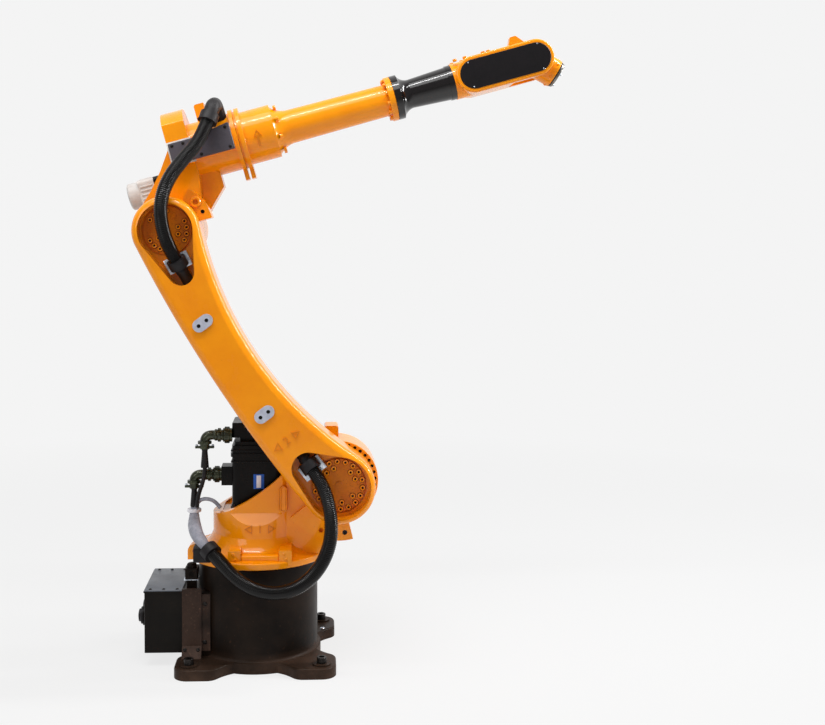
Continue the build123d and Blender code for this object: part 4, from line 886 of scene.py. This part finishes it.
def modelNumeral(figure, size, lift):
    clearSelection()
    bpy.ops.object.text_add()
    words = bpy.context.object
    words.data.body = figure
    words.data.size = size
    words.data.extrude = lift
    words.data.align_x, words.data.align_y = "CENTER", "CENTER"
    words.data.resolution_u = 6
    bpy.ops.object.convert(target="MESH")
    piece = bpy.context.object
    closeUp(piece)
    return piece


def modelTriangle(radius, lift, x, turn):
    clearSelection()
    bpy.ops.mesh.primitive_circle_add(vertices=3, radius=radius, fill_type="NGON")
    piece = bpy.context.object
    editAll()
    raiseFaces(lift)
    bpy.ops.mesh.inset(thickness=radius * marks["rim"])
    raiseFaces(-lift * marks["sink"])
    closeUp(piece)
    piece.matrix_world = Matrix.Translation((x, 0, 0)) @ Matrix.Rotation(math.radians(turn), 4, "Z")
    bpy.ops.object.transform_apply(location=True, rotation=True)
    return piece


def modelArrow(length, width, lift):
    stemWidth, stemLength, back = arrow["stem"]
    headRadius, forward = arrow["head"]
    clearSelection()
    bpy.ops.mesh.primitive_cube_add(size=1)
    piece = bpy.context.object
    piece.scale = (width * stemWidth, length * stemLength, lift)
    piece.location = (0, -length * back, lift / 2)
    bpy.ops.object.transform_apply(location=True, scale=True)
    head = modelTriangle(width * headRadius, lift, 0, 0)
    head.location.y = length * forward
    bpy.ops.object.transform_apply(location=True)
    return joinPieces([piece, head])


def layRelief(parts, name, mark, direction):
    piece = joinPieces(parts)
    piece.name = name
    editAll()
    bpy.ops.mesh.subdivide(number_cuts=2)
    bpy.ops.object.mode_set(mode="OBJECT")
    # the mark's upper faces take the darker enamel: painted shade
    wear(piece, "orangeGlossEnamel", "orangeMarkShadeEnamel", lambda face: face.center.z > marks["lift"] / 2)
    board = Matrix.Translation(mark["place"]) @ facing(direction, mark["turn"])
    out = Vector(direction).normalized()
    for vertex in piece.data.vertices:
        flat = board @ Vector((vertex.co.x, vertex.co.y, 0))
        hit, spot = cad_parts[mark["node"]].ray_cast(flat + out * marks["castFrom"], -out)[:2]
        vertex.co = (spot if hit else flat) + out * vertex.co.z
    return settle(piece, mark["body"], 30)


for figure in ("1", "2"):
    parts = [modelNumeral(figure, marks["size"], marks["lift"])]
    for side in (-1, 1):
        parts.append(modelTriangle(marks["triangle"], marks["lift"], side * marks["apart"], -90 * side))
    layRelief(parts, "axisMark" + figure, marks[figure], near)
layRelief([modelArrow(arrow["length"], arrow["width"], marks["lift"])], "drumArrow", arrow, arrow["way"])
print("relief marks laid")

# Upper arm: cover screws, boss and screw of the elbow stop
cover = dict(
    face=-0.096, head=0.0078,
    screws=((0.058, 0.019), (0.085, 0.019), (0.058, -0.013), (0.135, 0.022), (0.190, 0.030), (0.190, -0.017),
            (0.120, -0.017)),
)
coverSpots = [upperPoint(along, across, cover["face"]) for along, across in cover["screws"]]
copyTo("blackDome", "sideCoverScrews", alike(coverSpots, near, cover["head"]), "upper_arm")
elbowStop = dict(
    rings=((0.0125, -0.001), (0.0125, 0.004), (0.0112, 0.0056), (0.0066, 0.0056), (0.0056, 0.0005)),
    bore=0.006, circle=0.093, face=-0.149, screwAngle=28, bossAngle=45, screwHead=0.0095,
)


def stopSpot(angle):
    return elbow + inPlane(angle) * elbowStop["circle"] + far * elbowStop["face"]


# the boss's bore takes the darker enamel: painted shade
stopBoss = wear(turnPiece(elbowStop["rings"], 28), "orangeGlossEnamel", "orangeDullAndShadeEnamel",
                lambda face: face.center.xy.length < elbowStop["bore"])
placeOnce(stopBoss, "stopBoss", stopSpot(elbowStop["bossAngle"]), near, "lower_arm")
stopScrew = alike([stopSpot(elbowStop["screwAngle"])], near, elbowStop["screwHead"])
copyTo("hole", "stopScrew", stopScrew, "lower_arm")
print("upper arm dressed")

# Roll motor: ribs along its four flats; the elbow and shoulder motors' cover bolts
rollMotor = dict(
    along=-0.040, across=-0.060, y=0.052, half=0.033, shifts=(-0.015, -0.005, 0.005, 0.015),
    rib=(0.0042, 0.030, 0.0042), edge=0.0014,
)
masters["motorRib"] = wear(blockPiece(rollMotor["rib"], rollMotor["edge"]), "ivoryMotorEnamel")
rollMiddle = upperPoint(rollMotor["along"], rollMotor["across"], rollMotor["y"])
ribFrames = []
for out, across in ((near, acrossDir), (far, acrossDir), (acrossDir, near), (-acrossDir, near)):
    basis = Matrix((alongDir.cross(out), alongDir, out)).transposed().to_4x4()
    for shift in rollMotor["shifts"]:
        ribFrames.append(Matrix.Translation(rollMiddle + out * rollMotor["half"] + across * shift) @ basis)
copyInto("motorRib", "rollMotorRibs", ribFrames, "upper_arm")
elbowMotor = dict(back=elbow + far * 0.174, half=0.038, head=0.008)
shoulderMotor = dict(foot=Vector((0.195, 0.086, 0.420)), half=0.0475, head=0.011)
places = squarePlaces(elbowMotor["back"], alongDir, acrossDir, elbowMotor["half"], far, elbowMotor["head"])
copyTo("blackCap", "elbowMotorBolts", places, "upper_arm")
places = squarePlaces(shoulderMotor["foot"], right, up, shoulderMotor["half"], far, shoulderMotor["head"])
copyTo("blackCap", "shoulderMotorBolts", places, "carousel")
print("side motors dressed")

# Forearm: bolts in the flared root's pockets, bolts behind the collar
forearm = {
    "rootBolts": dict(along=0.309, way=alongDir, circle=0.056, first=22.5, count=8, head=0.0115),
    "collarBolts": dict(along=0.585, way=-alongDir, circle=0.0465, first=15, count=12, head=0.0095),
}
for name, bolts in forearm.items():
    middle = axisStart + alongDir * bolts["along"]
    angles = evenAngles(bolts["first"], bolts["count"])
    places = ringPlaces(middle, bolts["way"], acrossDir, bolts["circle"], angles, bolts["head"])
    copyTo("orangeCap", name, places, "forearm")
print("forearm dressed")

# Wrist: small cover screws, screws along the housing's top, screws of the head and the flange, its seal
hand = dict(
    cover=((0.789, 0.0296), (0.789, -0.0296), (0.962, 0.031), (0.962, -0.031)), coverFace=0.060,
    coverHead=0.0036, top=(0.764, 0.789, 0.835, 0.848), topSides=(-0.030, 0.030), topFace=0.0438,
    topHead=0.010, rim=0.056, rimRadius=0.0348, rimFirst=30, rimCount=6, rimHead=0.0075,
    seal=0.0652, sealRings=((0.0322, -0.0008), (0.0326, 0.0002), (0.0326, 0.0016), (0.0322, 0.0026)),
    flange=0.073, flangeCircle=0.0250, flangeCount=4, flangeHead=0.006,
)
places = []
for side in (-1, 1):
    spots = [upperPoint(along, across, side * hand["coverFace"]) for along, across in hand["cover"]]
    places += alike(spots, far * side, hand["coverHead"])
copyTo("zincDome", "wristCoverScrews", places, "forearm")
spots = [upperPoint(along, hand["topFace"], y) for along in hand["top"] for y in hand["topSides"]]
copyTo("orangeCap", "housingTopScrews", alike(spots, acrossDir, hand["topHead"]), "forearm")
headRim = wrist + handDir * hand["rim"]
rimAngles = evenAngles(hand["rimFirst"], hand["rimCount"])
places = []
for place in ringPlaces(headRim, handDir, far, hand["rimRadius"], rimAngles, 1):
    places += alike([place[0]], (place[0] - headRim).normalized(), hand["rimHead"])
copyTo("orangeDome", "headScrews", places, "wrist_head")
seal = wear(turnPiece(hand["sealRings"], 48), "blackRubber")
placeOnce(seal, "flangeSeal", wrist + handDir * hand["seal"], handDir, "tool_flange")
flangeFace = wrist + handDir * hand["flange"]
flangeAngles = evenAngles(0, hand["flangeCount"])
places = ringPlaces(flangeFace, handDir, far, hand["flangeCircle"], flangeAngles, hand["flangeHead"])
copyTo("zincCap", "flangeScrews", places, "tool_flange")
print("wrist dressed")

for master in masters.values():
    bpy.data.objects.remove(master)

# Floor, light and camera: a white sweep behind and a darker room in front
studio = dict(
    white="#F4F4F4", paper="#E6E6E6", reach=14.0, shadowShare=(0.84, 1.0), shadowReach=(0.7, 3.2),
    front=(-0.9, 0.2), skyFront=(-0.2, 0.2), room=0.30,
)


# White to the camera, and to mirrored rays where they go to the back
def seenWhite(tree, back):
    ray = addNode(tree, "LightPath").outputs
    either, both = {"operation": "MAXIMUM"}, {"operation": "MULTIPLY"}
    mirrored = addNode(tree, "Math", either, {0: ray["Is Glossy Ray"], 1: ray["Is Transmission Ray"]})
    behind = addNode(tree, "Math", both, {0: mirrored.outputs[0], 1: back})
    return addNode(tree, "Math", either, {0: ray["Is Camera Ray"], 1: behind.outputs[0]}).outputs[0]


# 0 in front and 1 behind, between two values of y
def backShare(tree, place, span):
    parted = addNode(tree, "SeparateXYZ", {}, {0: place})
    limits = {"From Min": span[0], "From Max": span[1]}
    return addNode(tree, "MapRange", limits, {"Value": parted.outputs["Y"]}).outputs["Result"]


def makeFloor():
    clearSelection()
    bpy.ops.mesh.primitive_circle_add(vertices=96, radius=studio["reach"], fill_type="NGON")
    floor = bpy.context.object
    floor.name = "paleFloor"
    editAll()
    bpy.ops.mesh.inset(thickness=studio["reach"] - studio["shadowReach"][1])
    bpy.ops.object.mode_set(mode="OBJECT")
    # matt paper that takes the soft shadow near the base and runs out into plain white
    material = bpy.data.materials.new("palePaper")
    material.use_nodes = True
    tree = material.node_tree
    tree.nodes.remove(tree.nodes["Principled BSDF"])
    place = addNode(tree, "TexCoord").outputs["Object"]
    seen = seenWhite(tree, backShare(tree, place, studio["front"]))
    away = addNode(tree, "VectorMath", {"operation": "LENGTH"}, {0: place})
    (nearest, furthest), (shaded, plain) = studio["shadowReach"], studio["shadowShare"]
    fading = {"From Min": nearest, "From Max": furthest, "To Min": shaded, "To Max": plain}
    fade = addNode(tree, "MapRange", fading, {"Value": away.outputs["Value"]})
    share = addNode(tree, "Math", {"operation": "MULTIPLY"}, {0: seen, 1: fade.outputs["Result"]})
    paper = addNode(tree, "BsdfDiffuse", {"Color": hexColor(studio["paper"])})
    glow = addNode(tree, "Emission", {"Color": hexColor(studio["white"])})
    layers = {0: share.outputs[0], 1: paper.outputs[0], 2: glow.outputs[0]}
    mixed = addNode(tree, "MixShader", {}, layers)
    tree.links.new(mixed.outputs[0], tree.nodes["Material Output"].inputs["Surface"])
    floor.data.materials.append(material)


def makeWorld():
    world = bpy.data.worlds.new("softStudio")
    bpy.context.scene.world = world
    world.use_nodes = True
    tree = world.node_tree
    room = tree.nodes["Background"]
    room.inputs["Color"].default_value = (1, 1, 1, 1)
    room.inputs["Strength"].default_value = studio["room"]
    place = addNode(tree, "TexCoord").outputs["Generated"]
    seen = seenWhite(tree, backShare(tree, place, studio["skyFront"]))
    sweep = addNode(tree, "Background", {"Color": hexColor(studio["white"]), "Strength": 1.0})
    mixed = addNode(tree, "MixShader", {}, {0: seen, 1: room.outputs[0], 2: sweep.outputs[0]})
    tree.links.new(mixed.outputs[0], tree.nodes["World Output"].inputs["Surface"])


makeFloor()
makeWorld()
lamps = {
    "overheadSoftbox": dict(place=(-0.5, -1.0, 3.3), aim=(0.0, 0, 0.9), size=(2.4, 1.6), watts=38),
    "overheadTube": dict(place=(0.1, -0.75, 2.75), aim=(0.1, 0, 1.1), size=(2.2, 0.06), watts=24),
    "frontSoftbox": dict(place=(-2.4, -2.9, 2.2), aim=(0, 0, 0.8), size=(1.4, 2.0), watts=24),
    "rightStrip": dict(place=(2.3, 0.1, 2.3), aim=(0.1, 0, 0.9), size=(0.18, 2.4), watts=70),
}
for name, lamp in lamps.items():
    light = bpy.data.lights.new(name, "AREA")
    light.shape = "RECTANGLE"
    light.size, light.size_y = lamp["size"]
    light.energy = lamp["watts"]
    holder = addObject(name, light)
    holder.location = lamp["place"]
    holder.rotation_euler = (Vector(lamp["aim"]) - Vector(lamp["place"])).to_track_quat("-Z", "Y").to_euler()
bpy.context.scene.view_settings.view_transform = "Standard"

eye = dict(
    place=(0.142036, -2.80299, 1.02080), yaw=2.345, pitch=2.075, roll=0.09, lens=49.905,
    sensor=36, shift=(0.06, -0.1),
)
camera = bpy.data.cameras.new("photoCamera")
camera.sensor_width = eye["sensor"]
camera.lens = eye["lens"]
camera.shift_x, camera.shift_y = eye["shift"]
viewer = addObject("photoCamera", camera)
turn = Matrix.Identity(4)
for angle, axis in ((-eye["yaw"], "Z"), (90 - eye["pitch"], "X"), (eye["roll"], "Z")):
    turn = turn @ Matrix.Rotation(math.radians(angle), 4, axis)
viewer.matrix_world = Matrix.Translation(eye["place"]) @ turn
bpy.context.scene.camera = viewer
print("stage set")
